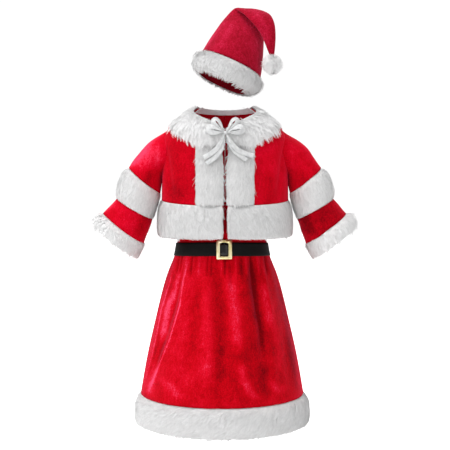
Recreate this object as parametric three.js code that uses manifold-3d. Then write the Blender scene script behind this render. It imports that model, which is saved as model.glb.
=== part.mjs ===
// A child's christmas costume, filled out as it is worn: a plush jacket with fur trim and a ribbon bow,
// a gathered plush skirt with a fur hem, a belt with a buckle, and a tall soft hat with a pompom.
// Millimetres, +Z up, the front faces -Y, and the origin is on the waist's axis at the belt.
import * as THREE from "three";
import { mergeVertices } from "three/addons/utils/BufferGeometryUtils.js";
import Module from "manifold-3d";

const wasm = await Module();
wasm.setup();

// ---------------------------------------------------------------- driving dimensions

const CLOTH = 2.4; // plush with its backing
const SEAM = 0.15; // half of the gap that is left between two pieces at a seam
const FUR = 12; // pile of the fur trims above the cloth
const FUR_EDGE = 2; // pile where a fur trim is turned in at its seams
const HEM_FULLNESS = 0.7; // share of the pile left at the lower edge of a hem
const RIBBON = 0.8; // satin ribbon's thickness
const RIBBON_WIDTH = 11;

const FRONT_OPENING = 10; // between the jacket's two front edges
const FRONT_SPREAD = 4; // how much further each edge stands off under the bow
const FRONT_BAND_EDGE = 67; // from the centre to a front band's seam
const BODY_SQUARENESS = 2.6;
const JACKET_HEM = 33;
const HEM_BAND_TOP = 110; // at the centre front and back
const HEM_BAND_LIFT = 8; // higher at the sides
const JACKET_FUR = 10;

const SKIRT_X = -7; // the skirt sits a little to one side of the jacket
const WAIST_RISE = 9; // the waist tips up towards the front
const WAIST_TOP = 48;
const WAIST_SEAM = 17;
const HEM_SEAM = -350;
const SKIRT_HEM = -419;
const SKIRT_FUR = 16;
const GATHERS = 32; // in the elastic heading above the belt
const GATHER_DEPTH = 2.2;

const BELT_WIDTH = 31;
const BELT_THICKNESS = 2;
const BELT_HEIGHT = -1; // the belt's middle, where the waist is level with the origin
const BUCKLE = { x: 4.9, width: 36.8, height: 45.8, windowWidth: 19.4, windowHeight: 31, thickness: 3 };

const HAT = { x: 1.5, z: 399, sideways: 24.5, backwards: 6, fur: 17 };
const POMPOM = { x: 84.8, y: -38, z: 78.4, core: 18, reach: 26, locks: 60 };

// The jacket's body in rings, from its hem up over the shoulders to the neck.
const BODY = [
  { z: 32, halfWidth: 154, halfDepth: 119 },
  { z: 110, halfWidth: 152, halfDepth: 114 },
  { z: 185, halfWidth: 151, halfDepth: 107 },
  { z: 245, halfWidth: 150, halfDepth: 99 },
  { z: 281, halfWidth: 145, halfDepth: 92 },
  { z: 300, halfWidth: 119, halfDepth: 83 },
  { z: 322, halfWidth: 84, halfDepth: 69 },
  { z: 346, halfWidth: 50, halfDepth: 55 },
];
const ARMHOLE = { z: 233, halfHeight: 48, halfAngle: 21 };
const NECK = { front: 281, middle: 312, side: 336, back: 330, curve: 0.74 };
const COLLAR = { front: 252, side: 299, back: 262, roll: 2, fur: 10, parting: 1.2 };
const NECK_TAPE = { from: 76, above: 6, below: 6 }; // from the neckline, and where it starts

// A sleeve in rings, each between a point on its upper edge and one on its under edge, seen from the front.
// The ring before the first row is the armhole.
const SLEEVE = [
  { topX: 180, topZ: 258, underX: 155, underZ: 173, halfDepth: 48, forward: 3 },
  { topX: 206, topZ: 229, underX: 155, underZ: 154, halfDepth: 46, forward: 6 },
  { topX: 230, topZ: 196, underX: 158.5, underZ: 134, halfDepth: 46, forward: 9 },
  { topX: 259, topZ: 122, underX: 173, underZ: 72, halfDepth: 49, forward: 13 },
  { topX: 291, topZ: 88, underX: 192, underZ: 14, halfDepth: 55, forward: 17 },
  { topX: 313, topZ: 58, underX: 207, underZ: -19, halfDepth: 58, forward: 20 },
];
const BAND_FROM = 3; // the sleeve's rings between which each fur band lies
const BAND_TO = 4;
const CUFF_FROM = 5;
const CUFF_TO = 6;

// The skirt in rings, from the top of its heading to its hem.
const SKIRT = [
  { z: 50, halfWidth: 106, halfDepth: 85 },
  { z: 17, halfWidth: 108, halfDepth: 86 },
  { z: -17, halfWidth: 114, halfDepth: 91 },
  { z: -40, halfWidth: 126, halfDepth: 101 },
  { z: -74, halfWidth: 138, halfDepth: 111 },
  { z: -118, halfWidth: 150, halfDepth: 123 },
  { z: -175, halfWidth: 163, halfDepth: 137 },
  { z: -233, halfWidth: 177, halfDepth: 148 },
  { z: -290, halfWidth: 188, halfDepth: 156 },
  { z: -350, halfWidth: 198, halfDepth: 161 },
  { z: -419, halfWidth: 203, halfDepth: 162 },
];

// The skirt's folds: where each leaves the waist and how far it swings by the hem, in degrees round from
// the front, its width there, its depth (a ridge is negative), and how much of the skirt it reaches down.
const FOLDS = [
  { at: -80, swing: -3, width: 7, depth: 6, reach: 1.0 },
  { at: -67, swing: -8, width: 7, depth: 7, reach: 1.0 },
  { at: -50, swing: -16, width: 8, depth: 8, reach: 1.1 },
  { at: -38, swing: -16, width: 9, depth: -5, reach: 1.0 },
  { at: -24, swing: 2, width: 8, depth: 4, reach: 0.35 },
  { at: -6, swing: 12, width: 8, depth: 7, reach: 0.75 },
  { at: 4, swing: 4, width: 7, depth: -4, reach: 0.4 },
  { at: 15, swing: 2, width: 6, depth: 6, reach: 0.35 },
  { at: 26, swing: -4, width: 11, depth: -5, reach: 1.0 },
  { at: 42, swing: -2, width: 8, depth: 8, reach: 0.8 },
  { at: 60, swing: 4, width: 9, depth: 5, reach: 0.7 },
  { at: 78, swing: 3, width: 8, depth: 5, reach: 1.0 },
  { at: 104, swing: 4, width: 9, depth: 6, reach: 0.8 },
  { at: 128, swing: 5, width: 10, depth: 7, reach: 1.0 },
  { at: 152, swing: -3, width: 9, depth: 6, reach: 0.6 },
  { at: 176, swing: 2, width: 9, depth: 8, reach: 0.9 },
  { at: 203, swing: 4, width: 10, depth: 6, reach: 0.7 },
  { at: 228, swing: -5, width: 9, depth: 7, reach: 1.0 },
  { at: 255, swing: -4, width: 9, depth: 6, reach: 0.8 },
];
const FOLD_START = -20; // the folds open out below the belt
const FOLD_FULL = -62;

// The hat's cone in rings from its rim. It leans, flattens, folds forward over its top edge and hangs down
// beside the crown: turn is a ring's turn in the front view and pitch its turn forward over the fold.
const CONE = [
  { x: -6, y: 0, z: -4, turn: 0, pitch: 0, halfWidth: 71, halfDepth: 78 },
  { x: -4, y: 0, z: 42, turn: 0, pitch: 0, halfWidth: 77, halfDepth: 78 },
  { x: -8, y: 0, z: 80, turn: 1, pitch: 0, halfWidth: 69, halfDepth: 67 },
  { x: -12, y: 0, z: 114, turn: 3, pitch: 0, halfWidth: 59, halfDepth: 50 },
  { x: -16, y: 0, z: 144, turn: 6, pitch: 0, halfWidth: 49, halfDepth: 30 },
  { x: -18, y: 0, z: 166, turn: 9, pitch: 12, halfWidth: 41, halfDepth: 14 },
  { x: -17, y: -7, z: 177, turn: 13, pitch: 72, halfWidth: 36, halfDepth: 8 },
  { x: -2, y: -27, z: 173, turn: 18, pitch: 130, halfWidth: 34, halfDepth: 9 },
  { x: 15, y: -43, z: 162, turn: 18, pitch: 170, halfWidth: 31, halfDepth: 10 },
  { x: 33, y: -48, z: 148, turn: 15, pitch: 180, halfWidth: 25, halfDepth: 11 },
  { x: 50, y: -46, z: 131, turn: 9, pitch: 180, halfWidth: 18, halfDepth: 11 },
  { x: 63, y: -42, z: 114, turn: 12, pitch: 180, halfWidth: 12, halfDepth: 9 },
  { x: 77, y: -38, z: 94, turn: 26, pitch: 180, halfWidth: 5, halfDepth: 5 },
];

// The bow's loops and tails, seen from the front, from the knot.
const KNOT = { x: 1, z: 271, halfWidth: 5, halfHeight: 4.5, halfDepth: 4.8, lift: 2.4 };
const BOW_HEIGHT = 15.6; // the ribbon's lowest layer above the jacket's cloth
const LOOPS = [
  { name: "bow_loop_upper", angle: 43, length: 37, width: 21, lift: 3.6 },
  { name: "bow_loop_lower", angle: 9, length: 40, width: 20, lift: 9 },
];
const TAILS = [
  { name: "bow_tail_left_outer", toX: -47, toZ: 217, bend: 9, lift: 1.5 },
  { name: "bow_tail_left_inner", toX: -41, toZ: 204, bend: 12, lift: 0 },
  { name: "bow_tail_right_inner", toX: 49, toZ: 213, bend: 9, lift: 0 },
  { name: "bow_tail_right_outer", toX: 64, toZ: 221, bend: 12, lift: 1.5 },
];

const FINISH = {
  plush: { color: "#d1062a", roughness: 0.95, metalness: 0 },
  fur: { color: "#f1f0ee", roughness: 1, metalness: 0 },
  rib: { color: "#e6e5e3", roughness: 0.9, metalness: 0 },
  satin: { color: "#f4f4f4", roughness: 0.35, metalness: 0 },
  belt: { color: "#1b1b1b", roughness: 0.5, metalness: 0 },
  buckle: { color: "#e5dba2", roughness: 0.3, metalness: 1 },
};

// ---------------------------------------------------------------- tools

const radians = THREE.MathUtils.degToRad;
const lerp = THREE.MathUtils.lerp;
const clamp01 = (value) => THREE.MathUtils.clamp(value, 0, 1);
const smooth = (value) => THREE.MathUtils.smoothstep(value, 0, 1);
const wrap = (degrees) => THREE.MathUtils.euclideanModulo(degrees + 180, 360) - 180;
// Stations across a fur trim, closer together where it rounds in to its edges.
const rounded = (fraction) => (1 - Math.cos(Math.PI * fraction)) / 2;
// The share of its full pile that a fur trim has at a station across it.
const pile = (fraction) => Math.sqrt(Math.max(0, Math.sin(Math.PI * clamp01(fraction))));
// A hem's pile hangs nearly full to its lower edge and thins only towards its seam.
const hemPile = (fraction) => (fraction < 0.5 ? lerp(HEM_FULLNESS, 1, pile(fraction)) : pile(fraction));

// A smooth reading of one column of a table of sections, without overshoot between its rows.
function column(table, key, by = "z") {
  const rows = [...table].sort((a, b) => a[by] - b[by]);
  const slopes = rows.slice(1).map((row, i) => (row[key] - rows[i][key]) / (row[by] - rows[i][by]));
  const tangent = (i) => {
    const before = slopes[Math.max(i - 1, 0)];
    const after = slopes[Math.min(i, slopes.length - 1)];
    return before * after <= 0 ? 0 : (2 * before * after) / (before + after);
  };
  return (at) => {
    const x = THREE.MathUtils.clamp(at, rows[0][by], rows.at(-1)[by]);
    const i = Math.min(
      rows.findLastIndex((row) => row[by] <= x),
      rows.length - 2,
    );
    const span = rows[i + 1][by] - rows[i][by];
    const t = (x - rows[i][by]) / span;
    const rise = rows[i + 1][key] - rows[i][key];
    const start = tangent(i) * span;
    const end = tangent(i + 1) * span;
    return rows[i][key] + t * start + t * t * (3 * rise - 2 * start - end) + t * t * t * (start + end - 2 * rise);
  };
}

// The same for a table whose rows are evenly spaced stations, numbered from 0.
const stations = (table, key) =>
  column(
    table.map((row, station) => ({ ...row, station })),
    key,
    "station",
  );

// A point of a rounded ring at a bearing in degrees, 0 at the front and 90 at +X.
function ringPoint(bearing, halfWidth, halfDepth, squareness = 2) {
  const across = Math.sin(radians(bearing));
  const along = Math.cos(radians(bearing));
  const size = (Math.abs(across) / halfWidth) ** squareness + (Math.abs(along) / halfDepth) ** squareness;
  const radius = size ** (-1 / squareness);
  return new THREE.Vector2(radius * across, -radius * along);
}

// A skin is point(u, v) on the cloth's outer face. This gives the point a height above it, along its normal.
function raised(point, step = 0.02) {
  return (u, v, height) => {
    const alongU = point(u + step, v).sub(point(u - step, v));
    const alongV = point(u, v + step).sub(point(u, v - step));
    return point(u, v).addScaledVector(alongU.cross(alongV).normalize(), height);
  };
}

const mirrored = (skin) => (u, v, height) => skin(u, v, height).multiply(new THREE.Vector3(-1, 1, 1));

function named(name, finish, geometry) {
  const mesh = new THREE.Mesh(geometry, new THREE.MeshStandardMaterial(FINISH[finish]));
  mesh.name = name;
  return mesh;
}

function turnedOut(geometry) {
  const at = geometry.attributes.position;
  const index = geometry.index.array;
  const corner = [new THREE.Vector3(), new THREE.Vector3(), new THREE.Vector3()];
  let volume = 0;
  for (let i = 0; i < index.length; i += 3) {
    corner.forEach((vertex, k) => vertex.fromBufferAttribute(at, index[i + k]));
    volume += corner[0].dot(corner[1].cross(corner[2]));
  }
  if (volume < 0) {
    geometry.setIndex([...index].reverse());
  }
  return geometry;
}

// A wall of cloth: two faces, outer(row, column) and inner(row, column) with both from 0 to 1, and its edges.
function wall(name, finish, { rows, columns, closed = false, outer, inner }) {
  const across = closed ? columns : columns + 1;
  const points = [];
  for (const face of [outer, inner]) {
    for (let row = 0; row <= rows; row++) {
      for (let j = 0; j < across; j++) {
        points.push(...face(row / rows, j / columns).toArray());
      }
    }
  }
  const outerAt = (row, j) => row * across + (j % across);
  const innerAt = (row, j) => (rows + 1) * across + outerAt(row, j);
  const index = [];
  const quad = (a, b, c, d) => index.push(a, b, c, a, c, d);
  for (let j = 0; j < columns; j++) {
    for (let row = 0; row < rows; row++) {
      quad(outerAt(row, j), outerAt(row, j + 1), outerAt(row + 1, j + 1), outerAt(row + 1, j));
      quad(innerAt(row, j), innerAt(row + 1, j), innerAt(row + 1, j + 1), innerAt(row, j + 1));
    }
    quad(outerAt(0, j), innerAt(0, j), innerAt(0, j + 1), outerAt(0, j + 1));
    quad(outerAt(rows, j), outerAt(rows, j + 1), innerAt(rows, j + 1), innerAt(rows, j));
  }
  if (!closed) {
    for (let row = 0; row < rows; row++) {
      quad(outerAt(row, 0), outerAt(row + 1, 0), innerAt(row + 1, 0), innerAt(row, 0));
      quad(outerAt(row, columns), innerAt(row, columns), innerAt(row + 1, columns), outerAt(row + 1, columns));
    }
  }
  const geometry = new THREE.BufferGeometry();
  geometry.setAttribute("position", new THREE.Float32BufferAttribute(points, 3));
  geometry.setIndex(index);
  return named(name, finish, turnedOut(geometry));
}

// ---------------------------------------------------------------- jacket

const bodyWidth = column(BODY, "halfWidth");
const bodyDepth = column(BODY, "halfDepth");

function bodyPoint(bearing, z) {
  const flat = ringPoint(bearing, bodyWidth(z), bodyDepth(z), BODY_SQUARENESS);
  return new THREE.Vector3(flat.x, flat.y, z);
}
const body = raised(bodyPoint, 0.2);

// The bearing at which the body's front lies x from its centre.
function bearingAt(x, z) {
  const across = Math.min(Math.abs(x) / bodyWidth(z), 0.9);
  const depth = bodyDepth(z) * (1 - across ** BODY_SQUARENESS) ** (1 / BODY_SQUARENESS);
  return THREE.MathUtils.radToDeg(Math.atan2(x, depth));
}

// The neckline's height: a V that opens from the centre front, level at the sides and dipped at the back.
function neckline(bearing) {
  const turn = Math.abs(wrap(bearing)) / 90;
  return turn < 1
    ? lerp(NECK.front, NECK.side, turn ** NECK.curve)
    : lerp(NECK.side, NECK.back, smooth(turn - 1));
}

// How far the armhole cuts back from the side seam at a height, in degrees.
function armholeCut(z) {
  const level = (z - ARMHOLE.z) / ARMHOLE.halfHeight;
  return ARMHOLE.halfAngle * Math.sqrt(Math.max(0, 1 - level * level));
}
const sideBearing = (z) => 90 - armholeCut(z) - THREE.MathUtils.radToDeg(SEAM / bodyWidth(z));

// The hem band's seam dips at the front and back.
const hemSeam = (bearing) => HEM_BAND_TOP + HEM_BAND_LIFT * Math.sin(radians(bearing)) ** 4;

// A panel of the jacket's body between two bearings, from the hem band's seam to the neckline.
function bodyPanel(name, finish, { from, to, rows, columns, height, spacing = (v) => v }) {
  const place = (v, u, above) => {
    const across = spacing(u);
    const top = neckline(lerp(from(NECK.middle), to(NECK.middle), across));
    const bottom = hemSeam(lerp(from(HEM_BAND_TOP), to(HEM_BAND_TOP), across));
    const z = lerp(bottom + SEAM, top, v);
    return body(lerp(from(z), to(z), across), z, above(across, z));
  };
  return wall(name, finish, {
    rows,
    columns,
    outer: (v, u) => place(v, u, height),
    inner: (v, u) => place(v, u, () => -CLOTH),
  });
}

// Half of the opening between the front edges at a height.
const halfOpening = (z) => FRONT_OPENING / 2 + FRONT_SPREAD * smooth((z - 205) / 25);

// The fur trims lie low where the collar covers them.
const underCollar = (z) => smooth((z - COLLAR.front + 32) / 12);

function jacketFront(side) {
  const panel = bodyPanel(`jacket_front_${side.name}`, "plush", {
    from: (z) => bearingAt(FRONT_BAND_EDGE + SEAM, z) * side.sign,
    to: (z) => sideBearing(z) * side.sign,
    rows: 10,
    columns: 7,
    height: () => 0,
  });
  const band = bodyPanel(`front_band_${side.name}`, "fur", {
    from: (z) => bearingAt(halfOpening(z), z) * side.sign,
    to: (z) => bearingAt(FRONT_BAND_EDGE - SEAM, z) * side.sign,
    rows: 9,
    columns: 4,
    spacing: rounded,
    height: (across, z) => lerp(FUR_EDGE + (JACKET_FUR - FUR_EDGE) * pile(across), FUR_EDGE, underCollar(z)),
  });
  return [panel, band];
}

// The back is cut in two and seamed down its middle.
function jacketBack(side) {
  const middle = (z) => 180 - THREE.MathUtils.radToDeg(SEAM / bodyDepth(z));
  return bodyPanel(`jacket_back_${side.name}`, "plush", {
    from: (z) => (180 - sideBearing(z)) * side.sign,
    to: (z) => middle(z) * side.sign,
    rows: 10,
    columns: 9,
    height: () => 0,
  });
}

function jacketHemBand() {
  const start = (z) => bearingAt(FRONT_OPENING / 2, z);
  const place = (v, u, height) => {
    const top = hemSeam(lerp(start(HEM_BAND_TOP), 360 - start(HEM_BAND_TOP), u));
    const z = lerp(JACKET_HEM, top - SEAM, rounded(v));
    return body(lerp(start(z), 360 - start(z), u), z, height);
  };
  return wall("jacket_hem_band", "fur", {
    rows: 4,
    columns: 40,
    outer: (v, u) => place(v, u, FUR_EDGE + (FUR - FUR_EDGE) * hemPile(rounded(v))),
    inner: (v, u) => place(v, u, -CLOTH),
  });
}

// The collar's lower edge: level across the front, up over the shoulders and down again behind.
function collarEdge(bearing) {
  const turn = Math.abs(wrap(bearing));
  return turn < 90
    ? lerp(COLLAR.front, COLLAR.side, smooth((turn - 22) / 68))
    : lerp(COLLAR.side, COLLAR.back, smooth((turn - 90) / 75));
}

// The collar's underside clears the jacket's cloth, and the front bands where it crosses them.
function collarFloor(v, x) {
  const overBands = 1 - smooth((Math.abs(x) - FRONT_BAND_EDGE - 3) / 16);
  return lerp(2.9, 4.9, overBands) - lerp(2.7, 2.2, overBands) * smooth((v - 0.8) / 0.2);
}

function collar() {
  const open = bearingAt(COLLAR.parting, COLLAR.front);
  const place = (v, u, above) => {
    const bearing = lerp(open, 360 - open, u);
    const z = lerp(collarEdge(bearing), neckline(bearing) + COLLAR.roll, rounded(v));
    return body(bearing, z, collarFloor(v, bodyPoint(bearing, z).x) + above);
  };
  return wall("collar", "fur", {
    rows: 6,
    columns: 40,
    outer: (v, u) => place(v, u, FUR_EDGE + (COLLAR.fur - FUR_EDGE) * pile(rounded(v))),
    inner: (v, u) => place(v, u, 0),
  });
}

// A ribbed tape neatens the inside of the back neck, below the collar's roll.
function neckTape() {
  const place = (v, u, height) => {
    const bearing = lerp(NECK_TAPE.from, 360 - NECK_TAPE.from, u);
    return body(bearing, neckline(bearing) + lerp(-NECK_TAPE.below, NECK_TAPE.above, v), height);
  };
  return wall("neck_tape", "rib", {
    rows: 2,
    columns: 14,
    outer: (v, u) => place(v, u, -CLOTH - 0.9),
    inner: (v, u) => place(v, u, -CLOTH - 2.1),
  });
}

// ---------------------------------------------------------------- sleeves

// A ring's point at an angle round the sleeve, 0 on the upper edge and 90 at the front.
function sleeveRing(row, angle) {
  const top = new THREE.Vector3(row.topX, 0, row.topZ);
  const under = new THREE.Vector3(row.underX, 0, row.underZ);
  const middle = top.clone().add(under).multiplyScalar(0.5);
  const reach = top.clone().sub(middle).multiplyScalar(Math.cos(radians(angle)));
  const depth = row.forward + row.halfDepth * Math.sin(radians(angle));
  return middle.add(reach).setY(-depth);
}

function armholePoint(angle) {
  const z = ARMHOLE.z + (ARMHOLE.halfHeight - SEAM) * Math.cos(radians(angle));
  return bodyPoint(90 - (ARMHOLE.halfAngle - SEAM) * Math.sin(radians(angle)), z);
}

// The sleeve's rings are numbered from 0 at the armhole, and a curve joins their points along it.
function sleevePoint(angle, ring) {
  const points = [armholePoint(angle), ...SLEEVE.map((row) => sleeveRing(row, angle))];
  const at = THREE.MathUtils.clamp(ring, 0, SLEEVE.length);
  const i = Math.min(Math.floor(at), SLEEVE.length - 1);
  const reflected = (end, next) => end.clone().multiplyScalar(2).sub(next);
  const before = points[i - 1] ?? reflected(points[0], points[1]);
  const after = points[i + 2] ?? reflected(points.at(-1), points.at(-2));
  const t = at - i;
  const blend = (key) =>
    0.5 *
    (2 * points[i][key] +
      t * (points[i + 1][key] - before[key]) +
      t * t * (2 * before[key] - 5 * points[i][key] + 4 * points[i + 1][key] - after[key]) +
      t * t * t * (3 * points[i][key] - before[key] - 3 * points[i + 1][key] + after[key]));
  return new THREE.Vector3(blend("x"), blend("y"), blend("z"));
}
const sleeveSkin = (angle, ring, height) => raised(sleevePoint, 0.01)(angle, ring, height);

const RING_SEAM = 0.004; // half of a seam's gap, in rings
const ARMHOLE_SEAM = 0.022;

function sleevePart(name, finish, skin, { from, to, rows, spacing = (v) => v, height }) {
  const ring = (v) => lerp(from, to, spacing(v));
  return wall(name, finish, {
    rows,
    columns: 18,
    closed: true,
    outer: (v, u) => skin(360 * u, ring(v), height(spacing(v), 360 * u)),
    inner: (v, u) => skin(360 * u, ring(v), -CLOTH),
  });
}

// Fur stands full on the outside of the arm and is pressed flat where the arm rests on the body.
function sleeveFur(full) {
  return (across, angle) => {
    const outward = ((1 + Math.cos(radians(angle))) / 2) ** 0.8;
    return FUR_EDGE + (1.5 + (full - 1.5) * outward) * pile(across);
  };
}

function sleeve(side) {
  const skin = side.sign > 0 ? sleeveSkin : mirrored(sleeveSkin);
  const fur = (name, from, to, full) =>
    sleevePart(name, "fur", skin, {
      from: from + RING_SEAM,
      to: to - RING_SEAM,
      rows: 4,
      spacing: rounded,
      height: sleeveFur(full),
    });
  const plush = (name, from, to, rows) =>
    sleevePart(name, "plush", skin, {
      from: from + RING_SEAM,
      to: to - RING_SEAM,
      rows,
      height: () => 0,
    });
  return [
    plush(`sleeve_upper_${side.name}`, ARMHOLE_SEAM, BAND_FROM, 5),
    fur(`sleeve_band_${side.name}`, BAND_FROM, BAND_TO, 14),
    plush(`sleeve_lower_${side.name}`, BAND_TO, CUFF_FROM, 2),
    fur(`cuff_${side.name}`, CUFF_FROM, CUFF_TO, 10),
  ];
}

// ---------------------------------------------------------------- skirt and belt

const skirtWidth = column(SKIRT, "halfWidth");
const skirtDepth = column(SKIRT, "halfDepth");
const skirtDrop = (z) => clamp01((WAIST_SEAM - z) / (WAIST_SEAM - SKIRT_HEM));

function foldDepth(bearing, z) {
  const drop = skirtDrop(z);
  const opening = smooth((FOLD_START - z) / (FOLD_START - FOLD_FULL));
  return FOLDS.reduce((total, fold) => {
    const off = wrap(bearing - fold.at - fold.swing * drop) / fold.width;
    const left = 1 - smooth(drop / fold.reach);
    return total + fold.depth * Math.exp(-off * off) * opening * left;
  }, 0);
}

const gatherDepth = (bearing, z) =>
  GATHER_DEPTH * Math.cos(radians(GATHERS * bearing)) * smooth((z - WAIST_SEAM - 2) / 8);

const waistRise = (bearing, z) => WAIST_RISE * Math.cos(radians(bearing)) * (1 - skirtDrop(z)) ** 2;

function skirtPoint(bearing, z, fall = foldDepth(bearing, z) + gatherDepth(bearing, z)) {
  const flat = ringPoint(bearing, skirtWidth(z), skirtDepth(z));
  const moved = flat.multiplyScalar(1 - fall / flat.length());
  return new THREE.Vector3(moved.x, moved.y, z + waistRise(bearing, z));
}
const skirt = raised(skirtPoint, 0.2);
const smoothWaist = raised((bearing, z) => skirtPoint(bearing, z, 0), 0.2);

// The skirt's rows, as shares of the way from its waist seam down to its hem band, closer under the belt.
const skirtRow = (v) => lerp(WAIST_SEAM - SEAM, HEM_SEAM + SEAM, lerp(v, v * v, 0.55));

function skirtPanel(name, from, to, columns) {
  const place = (v, u, height) => {
    const z = skirtRow(v);
    const gap = THREE.MathUtils.radToDeg(SEAM / skirtWidth(z));
    return skirt(lerp(from + gap, to - gap, u), z, height);
  };
  return wall(name, "plush", {
    rows: 10,
    columns,
    outer: (v, u) => place(v, u, 0),
    inner: (v, u) => place(v, u, -CLOTH),
  });
}

function waistHeading() {
  const place = (v, u, height) => skirt(360 * u, lerp(WAIST_SEAM + SEAM, WAIST_TOP, v), height);
  return wall("waist_heading", "plush", {
    rows: 1,
    columns: 4 * GATHERS,
    closed: true,
    outer: (v, u) => place(v, u, 0),
    inner: (v, u) => place(v, u, -CLOTH),
  });
}

function skirtHemBand() {
  const place = (v, u, height) => skirt(360 * u, lerp(SKIRT_HEM, HEM_SEAM - SEAM, rounded(v)), height);
  return wall("skirt_hem_band", "fur", {
    rows: 4,
    columns: 48,
    closed: true,
    outer: (v, u) => place(v, u, FUR_EDGE + (SKIRT_FUR - FUR_EDGE) * hemPile(rounded(v))),
    inner: (v, u) => place(v, u, -CLOTH),
  });
}

// The belt's layers, as heights above the smooth waist.
const STRAP_FLOOR = 1.4;
const STRAP_TOP = STRAP_FLOOR + BELT_THICKNESS;

function beltStrap() {
  const place = (v, u, height) => {
    const z = BELT_HEIGHT + lerp(-BELT_WIDTH, BELT_WIDTH, v) / 2;
    return smoothWaist(360 * u, z, height);
  };
  return wall("belt_strap", "belt", {
    rows: 2,
    columns: 48,
    closed: true,
    outer: (v, u) => place(v, u, STRAP_TOP),
    inner: (v, u) => place(v, u, STRAP_FLOOR),
  });
}

// A slide buckle: the strap's end comes up through the frame and over its middle bar.
function buckleFrame() {
  const outline = new THREE.Shape();
  const rectangle = (path, width, height) => {
    path.moveTo(-width / 2, -height / 2);
    path.lineTo(width / 2, -height / 2);
    path.lineTo(width / 2, height / 2);
    path.lineTo(-width / 2, height / 2);
    path.closePath();
    return path;
  };
  rectangle(outline, BUCKLE.width, BUCKLE.height);
  outline.holes.push(rectangle(new THREE.Path(), BUCKLE.windowWidth, BUCKLE.windowHeight));
  const geometry = new THREE.ExtrudeGeometry(outline, { depth: BUCKLE.thickness, bevelEnabled: false });
  geometry.deleteAttribute("normal");
  geometry.deleteAttribute("uv");
  return named("buckle_frame", "buckle", turnedOut(mergeVertices(geometry)));
}

function buckleBar() {
  const geometry = new THREE.BoxGeometry(4, BUCKLE.windowHeight - 0.6, 1.4);
  return named("buckle_bar", "buckle", geometry);
}

// The strap's end arches over the bar from one side of the window to the other.
function beltPass() {
  const halfWidth = BUCKLE.windowWidth / 2 - 0.7;
  const rise = 2;
  const radius = (halfWidth * halfWidth + rise * rise) / (2 * rise);
  const halfTurn = Math.asin(halfWidth / radius);
  const place = (v, u, height) => {
    const turn = lerp(-halfTurn, halfTurn, u);
    const y = lerp(-0.5, 0.5, v) * (BELT_WIDTH - 0.6);
    return new THREE.Vector3(radius * Math.sin(turn), y, radius * (Math.cos(turn) - 1)).addScaledVector(
      new THREE.Vector3(Math.sin(turn), 0, Math.cos(turn)),
      height,
    );
  };
  return wall("belt_pass", "belt", {
    rows: 1,
    columns: 8,
    outer: (v, u) => place(v, u, 0),
    inner: (v, u) => place(v, u, -1.4),
  });
}

// The buckle has its own frame, flat against the strap: x across the belt, y up it and z out of it.
function buckle() {
  const bearing = THREE.MathUtils.radToDeg(BUCKLE.x / skirtDepth(0));
  const place = smoothWaist(bearing, BELT_HEIGHT, STRAP_TOP + 0.9);
  const group = new THREE.Group();
  group.up.set(0, 0, 1);
  group.position.copy(place);
  group.lookAt(smoothWaist(bearing, BELT_HEIGHT, STRAP_TOP + 10));
  const frame = buckleFrame();
  const bar = buckleBar();
  bar.position.z = 1;
  const pass = beltPass();
  pass.position.z = 3.6;
  group.add(frame, bar, pass);
  return group;
}

// ---------------------------------------------------------------- bow

// A point on the jacket's front at x and z, a height above its cloth.
const onFront = (x, z, height) => body(bearingAt(x, z), z, height);

// A loop of ribbon lies as a petal: its back edge is the wide outline, and its front edge the slit.
function bowLoop(loop, side) {
  const direction = new THREE.Vector2(Math.cos(radians(loop.angle)), Math.sin(radians(loop.angle)));
  const sideways = new THREE.Vector2(-direction.y, direction.x);
  const place = (v, u, above) => {
    const turn = lerp(0.015, 0.985, u) * Math.PI;
    const length = loop.length * lerp(1, 0.72, v);
    const width = loop.width * lerp(1, 0.13, v);
    const flat = direction.clone().multiplyScalar(KNOT.halfWidth - 1.7 + length * Math.sin(turn));
    flat.addScaledVector(sideways, (width / 2) * Math.sin(2 * turn));
    const bulge = 6 * Math.sin((v * Math.PI) / 2) * Math.sin(turn) ** 0.5;
    return onFront(KNOT.x + side.sign * flat.x, KNOT.z + flat.y, BOW_HEIGHT + loop.lift + bulge + above);
  };
  return wall(`${loop.name}_${side.name}`, "satin", {
    rows: 2,
    columns: 14,
    outer: (v, u) => place(v, u, RIBBON),
    inner: (v, u) => place(v, u, 0),
  });
}

function bowTail(tail) {
  const start = new THREE.Vector2(KNOT.x + Math.sign(tail.toX) * 2.5, KNOT.z - 1);
  const end = new THREE.Vector2(tail.toX, tail.toZ);
  const run = end.clone().sub(start);
  const sideways = new THREE.Vector2(-run.y, run.x).normalize().multiplyScalar(Math.sign(tail.toX));
  const middle = start.clone().lerp(end, 0.5).addScaledVector(sideways, -tail.bend);
  const curve = new THREE.SplineCurve([start, middle, end]);
  const place = (v, u, above) => {
    const at = curve.getPoint(u);
    const along = curve.getTangent(u);
    const width = RIBBON_WIDTH * lerp(0.45, 1, smooth(u * 2.5));
    at.add(new THREE.Vector2(-along.y, along.x).multiplyScalar((v - 0.5) * width));
    return onFront(at.x, at.y, BOW_HEIGHT + tail.lift - 4.8 * smooth((u - 0.4) / 0.3) + above);
  };
  return wall(tail.name, "satin", {
    rows: 1,
    columns: 8,
    outer: (v, u) => place(v, u, RIBBON),
    inner: (v, u) => place(v, u, 0),
  });
}

function knot() {
  const geometry = new THREE.SphereGeometry(1, 10, 8).scale(KNOT.halfWidth, KNOT.halfDepth, KNOT.halfHeight);
  geometry.deleteAttribute("normal");
  geometry.deleteAttribute("uv");
  const mesh = named("bow_knot", "satin", turnedOut(mergeVertices(geometry)));
  mesh.position.copy(onFront(KNOT.x, KNOT.z, BOW_HEIGHT + KNOT.lift + KNOT.halfDepth));
  return mesh;
}

// ---------------------------------------------------------------- hat

const cone = Object.fromEntries(Object.keys(CONE[0]).map((key) => [key, stations(CONE, key)]));
const CONE_TIP = CONE.length - 1;

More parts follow.
